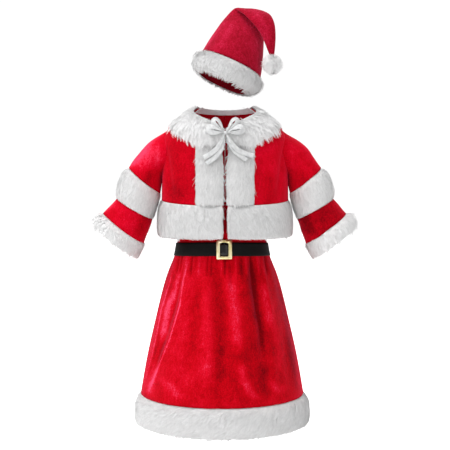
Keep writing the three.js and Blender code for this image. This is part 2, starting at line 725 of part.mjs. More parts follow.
// A point of the hat's cone at a bearing and station, with the ring grown by a height.
function conePoint(bearing, station, height) {
  const turn = radians(cone.turn(station));
  const pitch = radians(cone.pitch(station));
  const width = new THREE.Vector3(Math.cos(turn), 0, Math.sin(turn));
  const upright = new THREE.Vector3(-Math.sin(turn), 0, Math.cos(turn));
  const depth = new THREE.Vector3(0, -Math.cos(pitch), 0).addScaledVector(upright, -Math.sin(pitch));
  const across = (cone.halfWidth(station) + height) * Math.sin(radians(bearing));
  const along = (cone.halfDepth(station) + height) * Math.cos(radians(bearing));
  return new THREE.Vector3(cone.x(station), cone.y(station), cone.z(station))
    .addScaledVector(width, across)
    .addScaledVector(depth, along);
}

function hatCone() {
  const station = (v) => lerp(1 + RING_SEAM, CONE_TIP, v);
  return wall("hat_cone", "plush", {
    rows: 18,
    columns: 22,
    closed: true,
    outer: (v, u) => conePoint(360 * u, station(v), 0),
    inner: (v, u) => conePoint(360 * u, station(v), -CLOTH * lerp(1, 0.7, v)),
  });
}

function hatBand() {
  const station = (v) => rounded(v) * (1 - RING_SEAM);
  return wall("hat_band", "fur", {
    rows: 4,
    columns: 26,
    closed: true,
    outer: (v, u) => conePoint(360 * u, station(v), FUR_EDGE + (HAT.fur - FUR_EDGE) * pile(rounded(v))),
    inner: (v, u) => conePoint(360 * u, station(v), -CLOTH),
  });
}

function solidOf(geometry) {
  geometry.deleteAttribute("normal");
  geometry.deleteAttribute("uv");
  const merged = mergeVertices(geometry);
  return new wasm.Manifold(
    new wasm.Mesh({
      numProp: 3,
      vertProperties: merged.attributes.position.array,
      triVerts: new Uint32Array(merged.index.array),
    }),
  );
}

// The pompom's locks are three-sided and spread evenly over a round core by the golden angle, and none
// stands where the hat's tail is sewn on.
function pompom() {
  const goldenAngle = Math.PI * (3 - Math.sqrt(5));
  const root = POMPOM.core * 0.8;
  const tip = CONE.at(-1);
  const tail = new THREE.Vector3(tip.x - POMPOM.x, tip.y - POMPOM.y, tip.z - POMPOM.z).normalize();
  let solid = solidOf(new THREE.IcosahedronGeometry(POMPOM.core, 1));
  for (let i = 0; i < POMPOM.locks; i++) {
    const up = 1 - (2 * i + 1) / POMPOM.locks;
    const out = new THREE.Vector3(Math.cos(goldenAngle * i), Math.sin(goldenAngle * i), 0);
    out.multiplyScalar(Math.sqrt(1 - up * up)).setZ(up);
    if (out.dot(tail) > 0.82) {
      continue;
    }
    const lock = new THREE.ConeGeometry(3.2, POMPOM.reach - root, 3);
    lock.translate(0, (POMPOM.reach + root) / 2, 0);
    lock.applyQuaternion(new THREE.Quaternion().setFromUnitVectors(new THREE.Vector3(0, 1, 0), out));
    solid = solid.add(solidOf(lock));
  }
  const { vertProperties, triVerts } = solid.getMesh();
  const geometry = new THREE.BufferGeometry();
  geometry.setAttribute("position", new THREE.Float32BufferAttribute(vertProperties, 3));
  geometry.setIndex([...triVerts]);
  const mesh = named("pompom", "fur", geometry);
  mesh.position.set(POMPOM.x, POMPOM.y, POMPOM.z);
  return mesh;
}

// ---------------------------------------------------------------- the costume

const SIDES = [
  { name: "left", sign: -1 },
  { name: "right", sign: 1 },
];

const costume = new THREE.Group();

const jacket = new THREE.Group();
for (const side of SIDES) {
  jacket.add(...jacketFront(side), jacketBack(side), ...sleeve(side));
  jacket.add(...LOOPS.map((loop) => bowLoop(loop, side)));
}
jacket.add(jacketHemBand(), collar(), neckTape(), knot(), ...TAILS.map(bowTail));

const dress = new THREE.Group();
dress.position.x = SKIRT_X;
dress.add(skirtPanel("skirt_front", -90, 90, 44), skirtPanel("skirt_back", 90, 270, 36));
dress.add(waistHeading(), skirtHemBand(), beltStrap(), buckle());

const hat = new THREE.Group();
hat.position.set(HAT.x, 0, HAT.z);
hat.rotation.set(radians(-HAT.backwards), radians(HAT.sideways), 0, "XYZ");
hat.add(hatCone(), hatBand(), pompom());

costume.add(jacket, dress, hat);
export default costume;
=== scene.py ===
"""A child's red plush Christmas costume: a jacket, a gathered skirt with a belt, and a tall soft hat,
all trimmed with white fake fur."""

import math

import bmesh
import bpy
import numpy as np
from mathutils import Matrix, Vector, noise
from mathutils.bvhtree import BVHTree
from mathutils.kdtree import KDTree


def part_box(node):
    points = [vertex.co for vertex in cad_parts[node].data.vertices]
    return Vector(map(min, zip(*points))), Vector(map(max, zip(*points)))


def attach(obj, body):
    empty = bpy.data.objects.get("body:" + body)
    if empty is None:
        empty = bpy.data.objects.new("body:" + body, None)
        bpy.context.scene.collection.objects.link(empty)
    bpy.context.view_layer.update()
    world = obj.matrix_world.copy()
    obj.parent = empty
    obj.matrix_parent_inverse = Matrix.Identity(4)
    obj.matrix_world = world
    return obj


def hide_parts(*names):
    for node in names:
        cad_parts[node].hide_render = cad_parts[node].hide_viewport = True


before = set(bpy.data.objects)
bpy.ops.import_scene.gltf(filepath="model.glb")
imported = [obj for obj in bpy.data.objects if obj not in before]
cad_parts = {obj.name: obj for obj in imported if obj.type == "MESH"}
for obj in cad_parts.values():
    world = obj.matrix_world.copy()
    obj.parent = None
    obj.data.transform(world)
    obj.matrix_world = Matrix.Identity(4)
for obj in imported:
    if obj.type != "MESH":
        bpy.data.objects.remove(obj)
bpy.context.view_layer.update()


# ---------------------------------------------------------------------------
# The view. The costume is seen straight from the front, from just below its
# bow and a little downwards, with a long lens that leaves its outline nearly
# free of perspective.
# ---------------------------------------------------------------------------
view_camera = bpy.data.cameras.new("front_view")
view_camera.sensor_width = 36.0
view_camera.lens = 76.64
view_camera.clip_end = 60.0
front_view = bpy.data.objects.new("front_view", view_camera)
front_view.location = (0.0, -2.3, 0.226)
front_view.rotation_euler = (math.radians(85.8), 0.0, 0.0)
bpy.context.collection.objects.link(front_view)
bpy.context.scene.camera = front_view


# ---------------------------------------------------------------------------
# Jacket body: two fronts and two backs of red velour plush, a knitted ground
# with a short cut pile. They are sewn at the sides and up the middle of the
# back, and hang in shallow folds from the armholes.
# ---------------------------------------------------------------------------
def linear(colour):
    """A colour written as sRGB hex, in the linear values that a shader takes."""
    parts = [int(colour[i:i + 2], 16) / 255 for i in (1, 3, 5)]
    return [p / 12.92 if p <= 0.04045 else ((p + 0.055) / 1.055) ** 2.4 for p in parts] + [1.0]


def add_node(tree, kind, links=None, **settings):
    """Adds a node. links fills its inputs, by name or number, with a socket or a value."""
    node = tree.nodes.new(kind)
    for name, value in settings.items():
        setattr(node, name, value)
    for name, value in (links or {}).items():
        if isinstance(value, bpy.types.NodeSocket):
            tree.links.new(value, node.inputs[name])
        else:
            node.inputs[name].default_value = value
    return node


def new_material(name, **surface):
    """A material with its own principled surface, and the tree to build on."""
    material = bpy.data.materials.new(name)
    material.use_nodes = True
    tree = material.node_tree
    shader = tree.nodes["Principled BSDF"]
    for socket, value in surface.items():
        shader.inputs[socket.replace("_", " ")].default_value = value
    return material, tree, shader


def velour_plush(name, parted_and_shaded, ground, crown, brushed, patchy=0.24):
    """Cut-pile velour: matt, deep red where the pile parts, and paler where it lies over and shows its side.

    The four colours go from the parted pile, which also gives painted shade, to the brushed one, which also
    gives painted highlights, and patchy is how far the lie of the pile wanders over the cloth. Each piece's
    own strokes and creases are stored on it as its nap, together with painted light: painted highlights where
    light falls on the cloth and painted shade in its folds and away from the light."""
    streaky, tufty = 0.38, 0.50
    material, tree, shader = new_material(
        name, Roughness=0.9, Specular_IOR_Level=0.04, Sheen_Weight=0.6, Sheen_Roughness=0.4,
        Sheen_Tint=linear(brushed))
    place = add_node(tree, "ShaderNodeTexCoord").outputs["Object"]
    # Broad patches, 30 mm and more, where the cloth was stroked one way or the other.
    stroked = add_node(tree, "ShaderNodeTexNoise", {"Vector": place, "Scale": 30.0, "Detail": 2.0,
                                                    "Distortion": 0.4}).outputs["Fac"]
    # Streaks down the hanging cloth: rows of pile 2 mm apart, drawn 5 mm apart.
    hanging = add_node(tree, "ShaderNodeMapping",
                       {"Vector": place, "Scale": (1.0, 1.0, 0.45)}).outputs["Vector"]
    streaks = add_node(tree, "ShaderNodeTexNoise", {"Vector": hanging, "Scale": 190.0, "Detail": 3.0,
                                                    "Roughness": 0.65}).outputs["Fac"]
    # Single tufts, 0.5 mm apart on the real cloth and drawn 2.4 mm apart.
    tufts = add_node(tree, "ShaderNodeTexNoise",
                     {"Vector": place, "Scale": 420.0, "Detail": 1.0}).outputs["Fac"]
    # The nap holds the pile's lie and each piece's painted light: painted highlights and painted shade.
    lie_and_painted_light = add_node(tree, "ShaderNodeAttribute", attribute_name="nap_and_painted_light").outputs["Fac"]
    for pattern, share in ((stroked, patchy), (streaks, streaky), (tufts, tufty)):
        lie_and_painted_light = add_node(tree, "ShaderNodeMath", {0: pattern, 1: share, 2: lie_and_painted_light},
                        operation="MULTIPLY_ADD").outputs[0]
    # Each pattern is a half on average, and the nap alone sets how the whole cloth lies and where painted
    # highlights and painted shade make it lighter or darker.
    lie_and_painted_light = add_node(tree, "ShaderNodeMath", {0: lie_and_painted_light, 1: patchy / 2 + (streaky + tufty) / 2},
                    operation="SUBTRACT").outputs[0]
    shade = add_node(tree, "ShaderNodeValToRGB", {"Fac": lie_and_painted_light})
    ramp = shade.color_ramp
    ramp.elements[0].position, ramp.elements[0].color = 0.12, linear(parted_and_shaded)
    ramp.elements[1].position, ramp.elements[1].color = 0.98, linear(brushed)
    for position, colour in ((0.46, ground), (0.66, crown)):
        ramp.elements.new(position).color = linear(colour)
    tree.links.new(shade.outputs["Color"], shader.inputs["Base Color"])
    pile = add_node(tree, "ShaderNodeMath", {0: streaks, 1: tufts}, operation="ADD").outputs[0]
    rough = add_node(tree, "ShaderNodeBump",
                     {"Strength": 0.5, "Distance": 0.0016, "Height": pile}).outputs["Normal"]
    tree.links.new(rough, shader.inputs["Normal"])
    return material


def only(piece):
    """Selects one piece and nothing else."""
    bpy.ops.object.select_all(action="DESELECT")
    piece.select_set(True)
    bpy.context.view_layer.objects.active = piece


def cloth_from(node, name, levels, held=1.0):
    """A sewn piece on its solid's own form: merged, in quads, smoothed, with its cut edges held sharp."""
    merged, cut_edge = 2e-5, math.radians(52)
    piece = bpy.data.objects.new(name, bpy.data.objects[node].data.copy())
    bpy.context.collection.objects.link(piece)
    piece.data.materials.clear()
    shape = bmesh.new()
    shape.from_mesh(piece.data)
    bmesh.ops.remove_doubles(shape, verts=shape.verts, dist=merged)
    bmesh.ops.join_triangles(shape, faces=shape.faces, angle_face_threshold=0.5, angle_shape_threshold=0.9,
                             cmp_seam=False, cmp_sharp=False, cmp_uvs=False, cmp_vcols=False,
                             cmp_materials=False)
    crease = shape.edges.layers.float.new("crease_edge")
    for edge in shape.edges:
        if len(edge.link_faces) == 2 and edge.calc_face_angle(0.0) > cut_edge:
            edge[crease] = held
    shape.to_mesh(piece.data)
    shape.free()
    only(piece)
    smooth = piece.modifiers.new("smooth", "SUBSURF")
    smooth.levels = smooth.render_levels = levels
    bpy.ops.object.modifier_apply(modifier="smooth")
    bpy.ops.object.shade_smooth()
    return piece


def points_of(piece):
    """The piece's vertices, as rows of x, y and z in metres."""
    points = np.empty(len(piece.data.vertices) * 3)
    piece.data.vertices.foreach_get("co", points)
    return points.reshape(-1, 3)


def move_points(piece, points):
    """Puts the piece's vertices at these points."""
    piece.data.vertices.foreach_set("co", points.ravel())
    piece.data.update()


def ease(none, full, value):
    """0 up to none, 1 from full on, and a smooth change between them. full may be the smaller one."""
    t = np.clip((value - none) / (full - none), 0, 1)
    return t * t * (3 - 2 * t)


def fold_height(points, folds):
    """How far the cloth stands out at each point, in metres.

    A fold is a line down the front or the back. It is a soft wave or, as sharp grows, a crease. It dies
    away past both of its ends, and towards the side seams."""
    x, y, z = points.T * 1000
    height = np.zeros(len(points))
    for side, depth, width, sharp, line in folds:
        line = sorted(line, key=lambda p: p[1])
        at = np.interp(z, [p[1] for p in line], [p[0] for p in line])
        away = np.abs(x - at) / width
        form = np.exp(-away ** 2) * (1 - sharp) + np.exp(-away * 1.6) * sharp
        low, high = line[0][1], line[-1][1]
        run = 0.22 * (high - low) + 4
        ends = ease(low - run * 0.3, low + run, z) * ease(-high - run * 0.3, -high + run, -z)
        face = ease(-5, 25, -y if side == "front" else y)
        height += depth * form * ends * face
    return height / 1000


def press_folds(piece, folds, centre=0.0, top=None, bottom=None):
    """Presses folds into both faces of the cloth alike, straight out from its middle line.

    They fade out below top and above bottom, where the panel is sewn to the next piece."""
    sewn_flat = 0.012
    points = points_of(piece)
    out = points[:, :2] - np.array([centre, 0.0])
    out /= np.maximum(np.linalg.norm(out, axis=1), 1e-6)[:, None]
    height = fold_height(points, folds)
    if top is not None:
        height *= ease(0.0, sewn_flat, top - points[:, 2])
    if bottom is not None:
        height *= ease(0.0, sewn_flat, points[:, 2] - bottom)
    points[:, :2] += out * height[:, None]
    move_points(piece, points)


def brush_and_paint_light(piece, marks=(), ground=0.5):
    """Stores how the pile lies and the painted light on it: ground all over, more where it is stroked over or
    a painted highlight falls, less where it parts or painted shade lies.
    """
    nap_and_painted_light = ground + fold_height(points_of(piece), marks) * 1000
    piece.data.attributes.new("nap_and_painted_light", "FLOAT", "POINT").data.foreach_set("value", nap_and_painted_light.clip(0, 1))


def finish_cloth(piece, node, material):
    """The piece stands for its solid, rides with the set and takes its material."""
    piece.data.materials.clear()
    piece.data.materials.append(material)
    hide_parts(node)
    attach(piece, "root")


jacket_velour = velour_plush("polyester_velour_plush_bright_red", "#740008", "#b80014", "#cc0424", "#ea3c5c")
# side, height mm, half-width mm, sharpness, line of x and z in mm
JACKET_FOLDS = [
    ("front", -5.0, 8.0, 0.5, [(-140, 250), (-133, 200), (-128, 160), (-120, 128)]),
    ("front", -5.0, 8.0, 0.5, [(140, 250), (133, 200), (128, 160), (121, 128)]),
    ("front", 2.6, 13.0, 0.0, [(-118, 236), (-110, 190), (-104, 130)]),
    ("front", 2.6, 13.0, 0.0, [(118, 236), (110, 190), (104, 130)]),
    ("front", -2.2, 11.0, 0.2, [(-80, 240), (-84, 190), (-92, 120)]),
    ("front", -2.2, 11.0, 0.2, [(82, 236), (86, 188), (93, 120)]),
    ("front", 1.6, 10.0, 0.0, [(-58, 232), (-56, 180), (-60, 120)]),
    ("front", 1.8, 10.0, 0.0, [(58, 232), (55, 170), (60, 120)]),
    ("back", -4.0, 12.0, 0.2, [(-118, 250), (-112, 190), (-104, 130)]),
    ("back", -4.0, 12.0, 0.2, [(118, 250), (112, 190), (105, 130)]),
    ("back", 3.0, 16.0, 0.0, [(-74, 244), (-66, 180), (-62, 120)]),
    ("back", 3.0, 16.0, 0.0, [(72, 244), (66, 180), (60, 120)]),
    ("back", -2.4, 12.0, 0.1, [(-36, 230), (-32, 170), (-34, 118)]),
    ("back", -2.4, 12.0, 0.1, [(34, 230), (31, 170), (36, 118)]),
]
# Painted light on the jacket: paler armhole creases and back fold crests as painted highlights, and painted
# shade in the back's fold valleys, in streaks down the fronts, over the left front and low on both fronts.
# side, strength, half-width mm, sharpness, line of x and z in mm
JACKET_NAP_AND_PAINTED_LIGHT = [
    ("front", -0.12, 46.0, 0.0, [(-108, 270), (-108, 100)]),
    ("front", 0.04, 46.0, 0.0, [(108, 270), (108, 100)]),
    ("front", 0.16, 7.0, 0.2, [(-152, 262), (-149, 220), (-148, 170), (-149, 120)]),
    ("front", 0.10, 7.0, 0.2, [(152, 262), (149, 220), (148, 170), (149, 120)]),
    ("front", -0.10, 16.0, 0.0, [(-116, 170), (-112, 110)]),
    ("front", -0.16, 16.0, 0.0, [(100, 190), (104, 110)]),
    ("front", 0.08, 14.0, 0.0, [(-96, 236), (-92, 190)]),
    ("front", -0.10, 10.0, 0.0, [(-66, 220), (-66, 120)]),
    ("front", -0.10, 10.0, 0.0, [(70, 220), (70, 120)]),
    ("back", -0.12, 14.0, 0.0, [(-112, 230), (-108, 120)]),
    ("back", -0.12, 14.0, 0.0, [(112, 230), (108, 120)]),
    ("back", 0.14, 14.0, 0.0, [(-64, 240), (-60, 120)]),
    ("back", 0.14, 14.0, 0.0, [(64, 240), (60, 120)]),
]
JACKET_HEM_SEAM = 0.112
# panel: flat width and length in metres, and area of the cut in square metres
JACKET_PANELS = {
    "jacket_front_left": (0.14, 0.26, 0.028),
    "jacket_front_right": (0.14, 0.26, 0.028),
    "jacket_back_left": (0.19, 0.28, 0.043),
    "jacket_back_right": (0.19, 0.28, 0.043),
}
for node, (wide, long, area) in JACKET_PANELS.items():
    panel = cloth_from(node, node + "_velour", 2)
    press_folds(panel, JACKET_FOLDS, bottom=JACKET_HEM_SEAM)
    brush_and_paint_light(panel, JACKET_NAP_AND_PAINTED_LIGHT)
    finish_cloth(panel, node, jacket_velour)


# ---------------------------------------------------------------------------
# Sleeves: an upper and a lower tube of the same velour, with a band of fur
# between them. Each tube is one panel, sewn shut under the arm, and it
# wrinkles a little across the arm where the band pulls it in.
# ---------------------------------------------------------------------------
def wrinkle(piece, depth, scale, stretch, seed):
    """Small soft wrinkles, straight out from the piece's middle, in both faces of the cloth alike.

    scale is how many there are to a metre, and stretch squeezes them in x, y and z."""
    points = points_of(piece)
    middle = points.mean(0)
    out = points - middle
    out /= np.maximum(np.linalg.norm(out, axis=1), 1e-6)[:, None]
    shift = Vector((seed * 3.1, seed * 1.7, seed * 2.3))
    wave = np.array([noise.noise(Vector(p * stretch) * scale + shift) for p in points])
    move_points(piece, points + out * (wave * depth)[:, None])


def settle_to_body(piece):
    """The arm hangs against the jacket's side, so the sleeve's inner side is pressed towards it."""
    press, arm_middle, body_side = 0.005, 0.182, 0.152
    points = points_of(piece)
    points[:, 0] -= np.sign(points[:, 0]) * press * ease(arm_middle, body_side, np.abs(points[:, 0]))
    move_points(piece, points)


def sew_in(tube, side):
    """Behind the shoulder the sleeve's head is drawn in until it meets the armhole's edge.

    This takes the rear of its top alone, and what stands near to the body: gaps up to near close whole,
    and those past far stay."""
    under_shoulder, shoulder = 0.210, 0.230
    top_of_arm, rear = -0.025, -0.005
    near, far, lap = 0.009, 0.024, 0.0016
    trees = []
    for part in ("front", "back"):
        body = bpy.data.objects[f"jacket_{part}_{side}_velour"]
        faces = [tuple(face.vertices) for face in body.data.polygons]
        trees.append(BVHTree.FromPolygons(points_of(body).tolist(), faces))
    points = points_of(tube)
    share = ease(under_shoulder, shoulder, points[:, 2]) * ease(top_of_arm, rear, points[:, 1])
    for i in np.nonzero(share > 0)[0]:
        hits = [tree.find_nearest(points[i].tolist()) for tree in trees]
        spot, _, _, gap = min(hits, key=lambda hit: hit[3])
        draw = (gap + lap) * (1 - ease(near, far, gap)) * share[i]
        points[i] += (np.array(spot) - points[i]) * (draw / max(gap, 1e-5))
    move_points(tube, points)


# Painted light on the sleeves: a painted highlight and sheen along the upper outer edge and over the upper
# left arm, paler armhole creases, and painted shade under the arms, near the bands and over the right
# forearm.
SLEEVE_NAP_AND_PAINTED_LIGHT = [
    ("front", 0.26, 40.0, 0.0, [(-176, 250), (-210, 190)]),
    ("front", -0.26, 60.0, 0.0, [(214, 120), (250, 20)]),
    ("front", 0.06, 60.0, 0.0, [(-214, 120), (-250, 20)]),
    ("front", 0.34, 12.0, 0.0, [(-258, 124), (-292, 88)]),
    ("front", 0.60, 17.0, 0.0, [(-140, 294), (-182, 260), (-208, 231), (-232, 196)]),
    ("front", 0.18, 12.0, 0.0, [(140, 294), (182, 260), (208, 231), (232, 196)]),
    ("front", 0.14, 6.0, 0.2, [(-158, 262), (-157, 226), (-160, 190)]),
    ("front", 0.10, 6.0, 0.2, [(158, 262), (157, 226), (160, 190)]),
    ("front", -0.18, 12.0, 0.0, [(-176, 190), (-190, 150)]),
    ("front", -0.18, 12.0, 0.0, [(176, 190), (190, 150)]),
    ("front", -0.20, 12.0, 0.0, [(-184, 92), (-206, 34)]),
    ("front", -0.22, 12.0, 0.0, [(184, 92), (206, 34)]),
]
# piece: flat width and length in metres
SLEEVE_PANELS = {"sleeve_upper": (0.30, 0.085), "sleeve_lower": (0.32, 0.055)}
for side in ("left", "right"):
    for part, flat in SLEEVE_PANELS.items():
        node = f"{part}_{side}"
        tube = cloth_from(node, node + "_velour", 2)
        wrinkle(tube, 0.0035, 22.0, (1.0, 0.8, 1.5), 4.0 if side == "left" else 9.0)
        if part == "sleeve_upper":
            # The head of the sleeve is eased into the armhole.
            settle_to_body(tube)
            sew_in(tube, side)
        brush_and_paint_light(tube, SLEEVE_NAP_AND_PAINTED_LIGHT)
        finish_cloth(tube, node, jacket_velour)


# ---------------------------------------------------------------------------
# Skirt: a front and a back panel of a deeper red plush, gathered on an elastic
# heading. The gathers open into long soft folds over the hem, some of them
# sharp where the pile has been pressed.
# ---------------------------------------------------------------------------
skirt_velour = velour_plush("polyester_velour_plush_deep_red", "#6c0006", "#b6000e", "#cc0822", "#e8466a",
                            patchy=0.35)
SKIRT_CENTRE = -0.007
SKIRT_HEADING_SEAM, SKIRT_HEM_SEAM = 0.004, -0.349
# side, height mm, half-width mm, sharpness, line of x and z in mm
SKIRT_FOLDS = [
    ("front", 4.2, 7.0, 0.8,
     [(-84, -16), (-98, -68), (-105, -122), (-128, -199), (-157, -272), (-177, -323)]),
    ("front", 3.4, 7.0, 0.8,
     [(-119, -26), (-130, -72), (-152, -142), (-161, -191), (-173, -248), (-194, -324)]),
    ("front", -4.0, 8.0, 0.2,
     [(-92, -30), (-110, -90), (-122, -140), (-143, -200), (-165, -270), (-183, -318)]),
    ("front", -5.0, 14.0, 0.1, [(-17, -8), (-16, -64), (-7, -175), (-11, -340)]),
    ("front", 3.2, 12.0, 0.0, [(-38, -24), (-40, -90), (-34, -190), (-38, -320)]),
    ("front", -4.0, 6.0, 0.5, [(14, -20), (15, -44), (17, -90)]),
    ("front", -6.5, 9.0, 0.4, [(63, -24), (65, -75), (74, -132), (83, -179), (88, -250)]),
    ("front", 3.4, 8.0, 0.6, [(84, -20), (92, -60), (104, -120), (112, -180)]),
    ("front", 3.0, 14.0, 0.0, [(25, -100), (32, -190), (46, -293), (56, -336)]),
    ("front", -3.4, 12.0, 0.1, [(-66, -40), (-72, -120), (-80, -220), (-98, -330)]),
    ("front", -3.0, 12.0, 0.1, [(120, -60), (136, -150), (146, -250), (156, -330)]),
    ("front", 2.6, 10.0, 0.2, [(104, -200), (112, -270), (118, -335)]),
    ("back", 4.0, 12.0, 0.3, [(-92, -20), (-108, -120), (-124, -220), (-136, -330)]),
    ("back", -5.0, 11.0, 0.3, [(-60, -20), (-68, -110), (-76, -220), (-86, -330)]),
    ("back", 4.0, 13.0, 0.2, [(-26, -20), (-28, -120), (-36, -230), (-42, -330)]),
    ("back", -5.0, 11.0, 0.3, [(6, -20), (8, -130), (4, -240), (6, -330)]),
    ("back", 4.0, 12.0, 0.3, [(42, -20), (50, -120), (54, -230), (60, -330)]),
    ("back", -5.0, 11.0, 0.3, [(78, -20), (92, -120), (104, -230), (112, -330)]),
]
# Short pulls where the elastic bunches the cloth just under the belt: x and height in mm.
PULLS = []
for x, height in ((-106, -2.4), (-99, -2.6), (-88, 2.0), (-75, -2.8), (-58, 2.0), (-39, -2.6), (-30, -2.2),
                  (-8, 2.0), (0, -2.4), (24, 2.2), (36, -2.0), (47, 2.2), (58, -2.6), (74, 2.2), (92, -2.2)):
    PULLS.append(("front", height, 3.6, 0.3, [(x * 1.00, -2), (x * 1.04, -30), (x * 1.08, -58)]))
    PULLS.append(("back", height, 4.2, 0.3, [(x * 0.96, -2), (x * 1.00, -30), (x * 1.05, -62)]))
SKIRT_FOLDS += PULLS
# Painted light: pale lines along the sharp folds are painted highlights, the dark lines beside them and in
# the valleys are painted shade, and the front is painted darker from its middle to its right side.
CREASE = [(-84, -16), (-98, -68), (-105, -122), (-128, -199), (-157, -272), (-177, -323), (-184, -340)]
OUTER_CREASE = [(-119, -26), (-130, -72), (-152, -142), (-161, -191), (-173, -248), (-194, -324)]
# side, strength, half-width mm, sharpness, line of x and z in mm
SKIRT_NAP_AND_PAINTED_LIGHT = [
    ("front", 0.05, 60.0, 0.0, [(-90, 10), (-120, -350)]),
    ("front", -0.19, 46.0, 0.0, [(30, 10), (50, -350)]),
    ("front", -0.10, 50.0, 0.0, [(110, 10), (150, -350)]),
    ("front", 0.38, 2.0, 0.2, CREASE),
    ("front", -0.20, 5.0, 0.0, [(x - 7, z) for x, z in CREASE]),
    ("front", 0.30, 2.2, 0.2, OUTER_CREASE),
    ("front", -0.16, 4.0, 0.0, [(x + 6, z) for x, z in OUTER_CREASE]),
    ("front", 0.32, 12.0, 0.0, [(-128, -96), (-142, -168), (-152, -214)]),
    ("front", 0.24, 7.0, 0.0, [(-100, -34), (-112, -80), (-124, -120)]),
    ("front", 0.20, 16.0, 0.0, [(-146, -286), (-100, -334)]),
    ("front", 0.24, 10.0, 0.0, [(86, -60), (98, -130), (106, -180)]),
    ("front", 0.18, 13.0, 0.0, [(96, -290), (140, -330)]),
    ("front", 0.32, 10.0, 0.0, [(-162, -258), (-178, -318), (-184, -344)]),
    ("front", -0.15, 13.0, 0.0, [(-19, -8), (-17, -64), (-10, -175), (-12, -346)]),
    ("front", 0.36, 17.0, 0.0, [(14, -40), (20, -110), (26, -160), (34, -230)]),
    ("front", 0.32, 12.0, 0.0, [(34, -240), (44, -290), (72, -336)]),
    ("front", -0.28, 8.0, 0.2, [(63, -8), (65, -75), (74, -132), (83, -179), (89, -240)]),
    ("front", 0.20, 4.0, 0.3, [(85, -20), (92, -48), (98, -70)]),
    ("front", 0.14, 8.0, 0.0, [(108, -110), (120, -200), (132, -280)]),
    ("front", -0.20, 9.0, 0.0, [(128, -70), (146, -170), (160, -260), (170, -335)]),
    ("front", -0.14, 12.0, 0.0, [(-62, -60), (-66, -160), (-80, -260)]),
    ("front", 0.10, 14.0, 0.0, [(-44, -60), (-40, -200), (-46, -320)]),
    ("front", -0.16, 12.0, 0.0, [(84, -250), (96, -335)]),
    ("back", 0.26, 6.0, 0.2, [(-92, -20), (-108, -120), (-124, -220), (-136, -330)]),
    ("back", -0.26, 9.0, 0.1, [(-60, -20), (-68, -110), (-76, -220), (-86, -330)]),
    ("back", 0.20, 10.0, 0.0, [(-26, -20), (-28, -120), (-36, -230), (-42, -330)]),
    ("back", -0.26, 9.0, 0.1, [(6, -20), (8, -130), (4, -240), (6, -330)]),
    ("back", 0.24, 8.0, 0.1, [(42, -20), (50, -120), (54, -230), (60, -330)]),
    ("back", -0.26, 9.0, 0.1, [(78, -20), (92, -120), (104, -230), (112, -330)]),
    ("back", 0.18, 8.0, 0.0, [(118, -40), (136, -140), (152, -260), (162, -330)]),
]
# Each pull is painted paler on its crest, a painted highlight, and darker in its valley, a painted shade.
for side, height, _, _, line in PULLS:
    SKIRT_NAP_AND_PAINTED_LIGHT.append((side, height * 0.09, 3.2, 0.2, line))


def meet_at_sides(piece, toward):
    """A panel's seam edges are drawn across to its neighbour: toward is +1 for the front, -1 for the back."""
    lap, edge, inner = 0.0009, 0.002, 0.007
    points = points_of(piece)
    depth = points[:, 1] * toward
    points[:, 1] += lap * toward * (1 - ease(edge, inner, depth.max() - depth))
    move_points(piece, points)


# panel: flat width and length in metres
SKIRT_PANELS = {"skirt_front": (0.57, 0.38), "skirt_back": (0.57, 0.37)}
for node, flat in SKIRT_PANELS.items():
    panel = cloth_from(node, node + "_velour", 3 if node == "skirt_front" else 2)
    press_folds(panel, SKIRT_FOLDS, SKIRT_CENTRE, top=SKIRT_HEADING_SEAM, bottom=SKIRT_HEM_SEAM)
    meet_at_sides(panel, 1 if node == "skirt_front" else -1)
    brush_and_paint_light(panel, SKIRT_NAP_AND_PAINTED_LIGHT)
    finish_cloth(panel, node, skirt_velour)

# The heading: the same plush, folded over the elastic that draws it in.
heading = cloth_from("waist_heading", "waist_heading_velour", 1)
brush_and_paint_light(heading)
finish_cloth(heading, "waist_heading", skirt_velour)


# ---------------------------------------------------------------------------
# Hat: one cone of a darker crimson plush, sewn up the back. It is soft enough
# that it leans and its top folds over.
# ---------------------------------------------------------------------------
hat_velour = velour_plush("polyester_velour_plush_crimson", "#58030f", "#92061c", "#b01434", "#ea6084")
cone = cloth_from("hat_cone", "hat_cone_velour", 2)
wrinkle(cone, 0.0022, 26.0, (1.0, 1.0, 0.7), 2.0)
# Painted light on the cone: a painted highlight and sheen down its left side, where the light falls, and
# paler strokes over its middle and near its fold.
# side, strength, half-width mm, sharpness, line of x and z in mm
HAT_NAP_AND_PAINTED_LIGHT = [
    ("front", 0.44, 12.0, 0.0, [(-62, 470), (-42, 502), (-16, 540), (10, 576)]),
    ("front", 0.12, 12.0, 0.0, [(-22, 462), (4, 505), (24, 545)]),
    ("front", 0.10, 16.0, 0.0, [(80, 450), (78, 500), (50, 545)]),
    ("front", 0.10, 9.0, 0.1, [(30, 572), (72, 560), (96, 520), (98, 480)]),
]
brush_and_paint_light(cone, HAT_NAP_AND_PAINTED_LIGHT)
finish_cloth(cone, "hat_cone", hat_velour)


# ---------------------------------------------------------------------------
# Belt: a woven strap with a matt black coating, pulled snug over the gathers.
# Its free end passes over the buckle's bar and stands up glossy in the window.
# ---------------------------------------------------------------------------
# The coating scatters what little light it throws back, so the strap is a flat, slightly cloudy black.
strap_coat, tree, shader = new_material(
    "black_pu_coated_webbing", Roughness=0.6, Specular_IOR_Level=0.12)
place = add_node(tree, "ShaderNodeTexCoord").outputs["Object"]
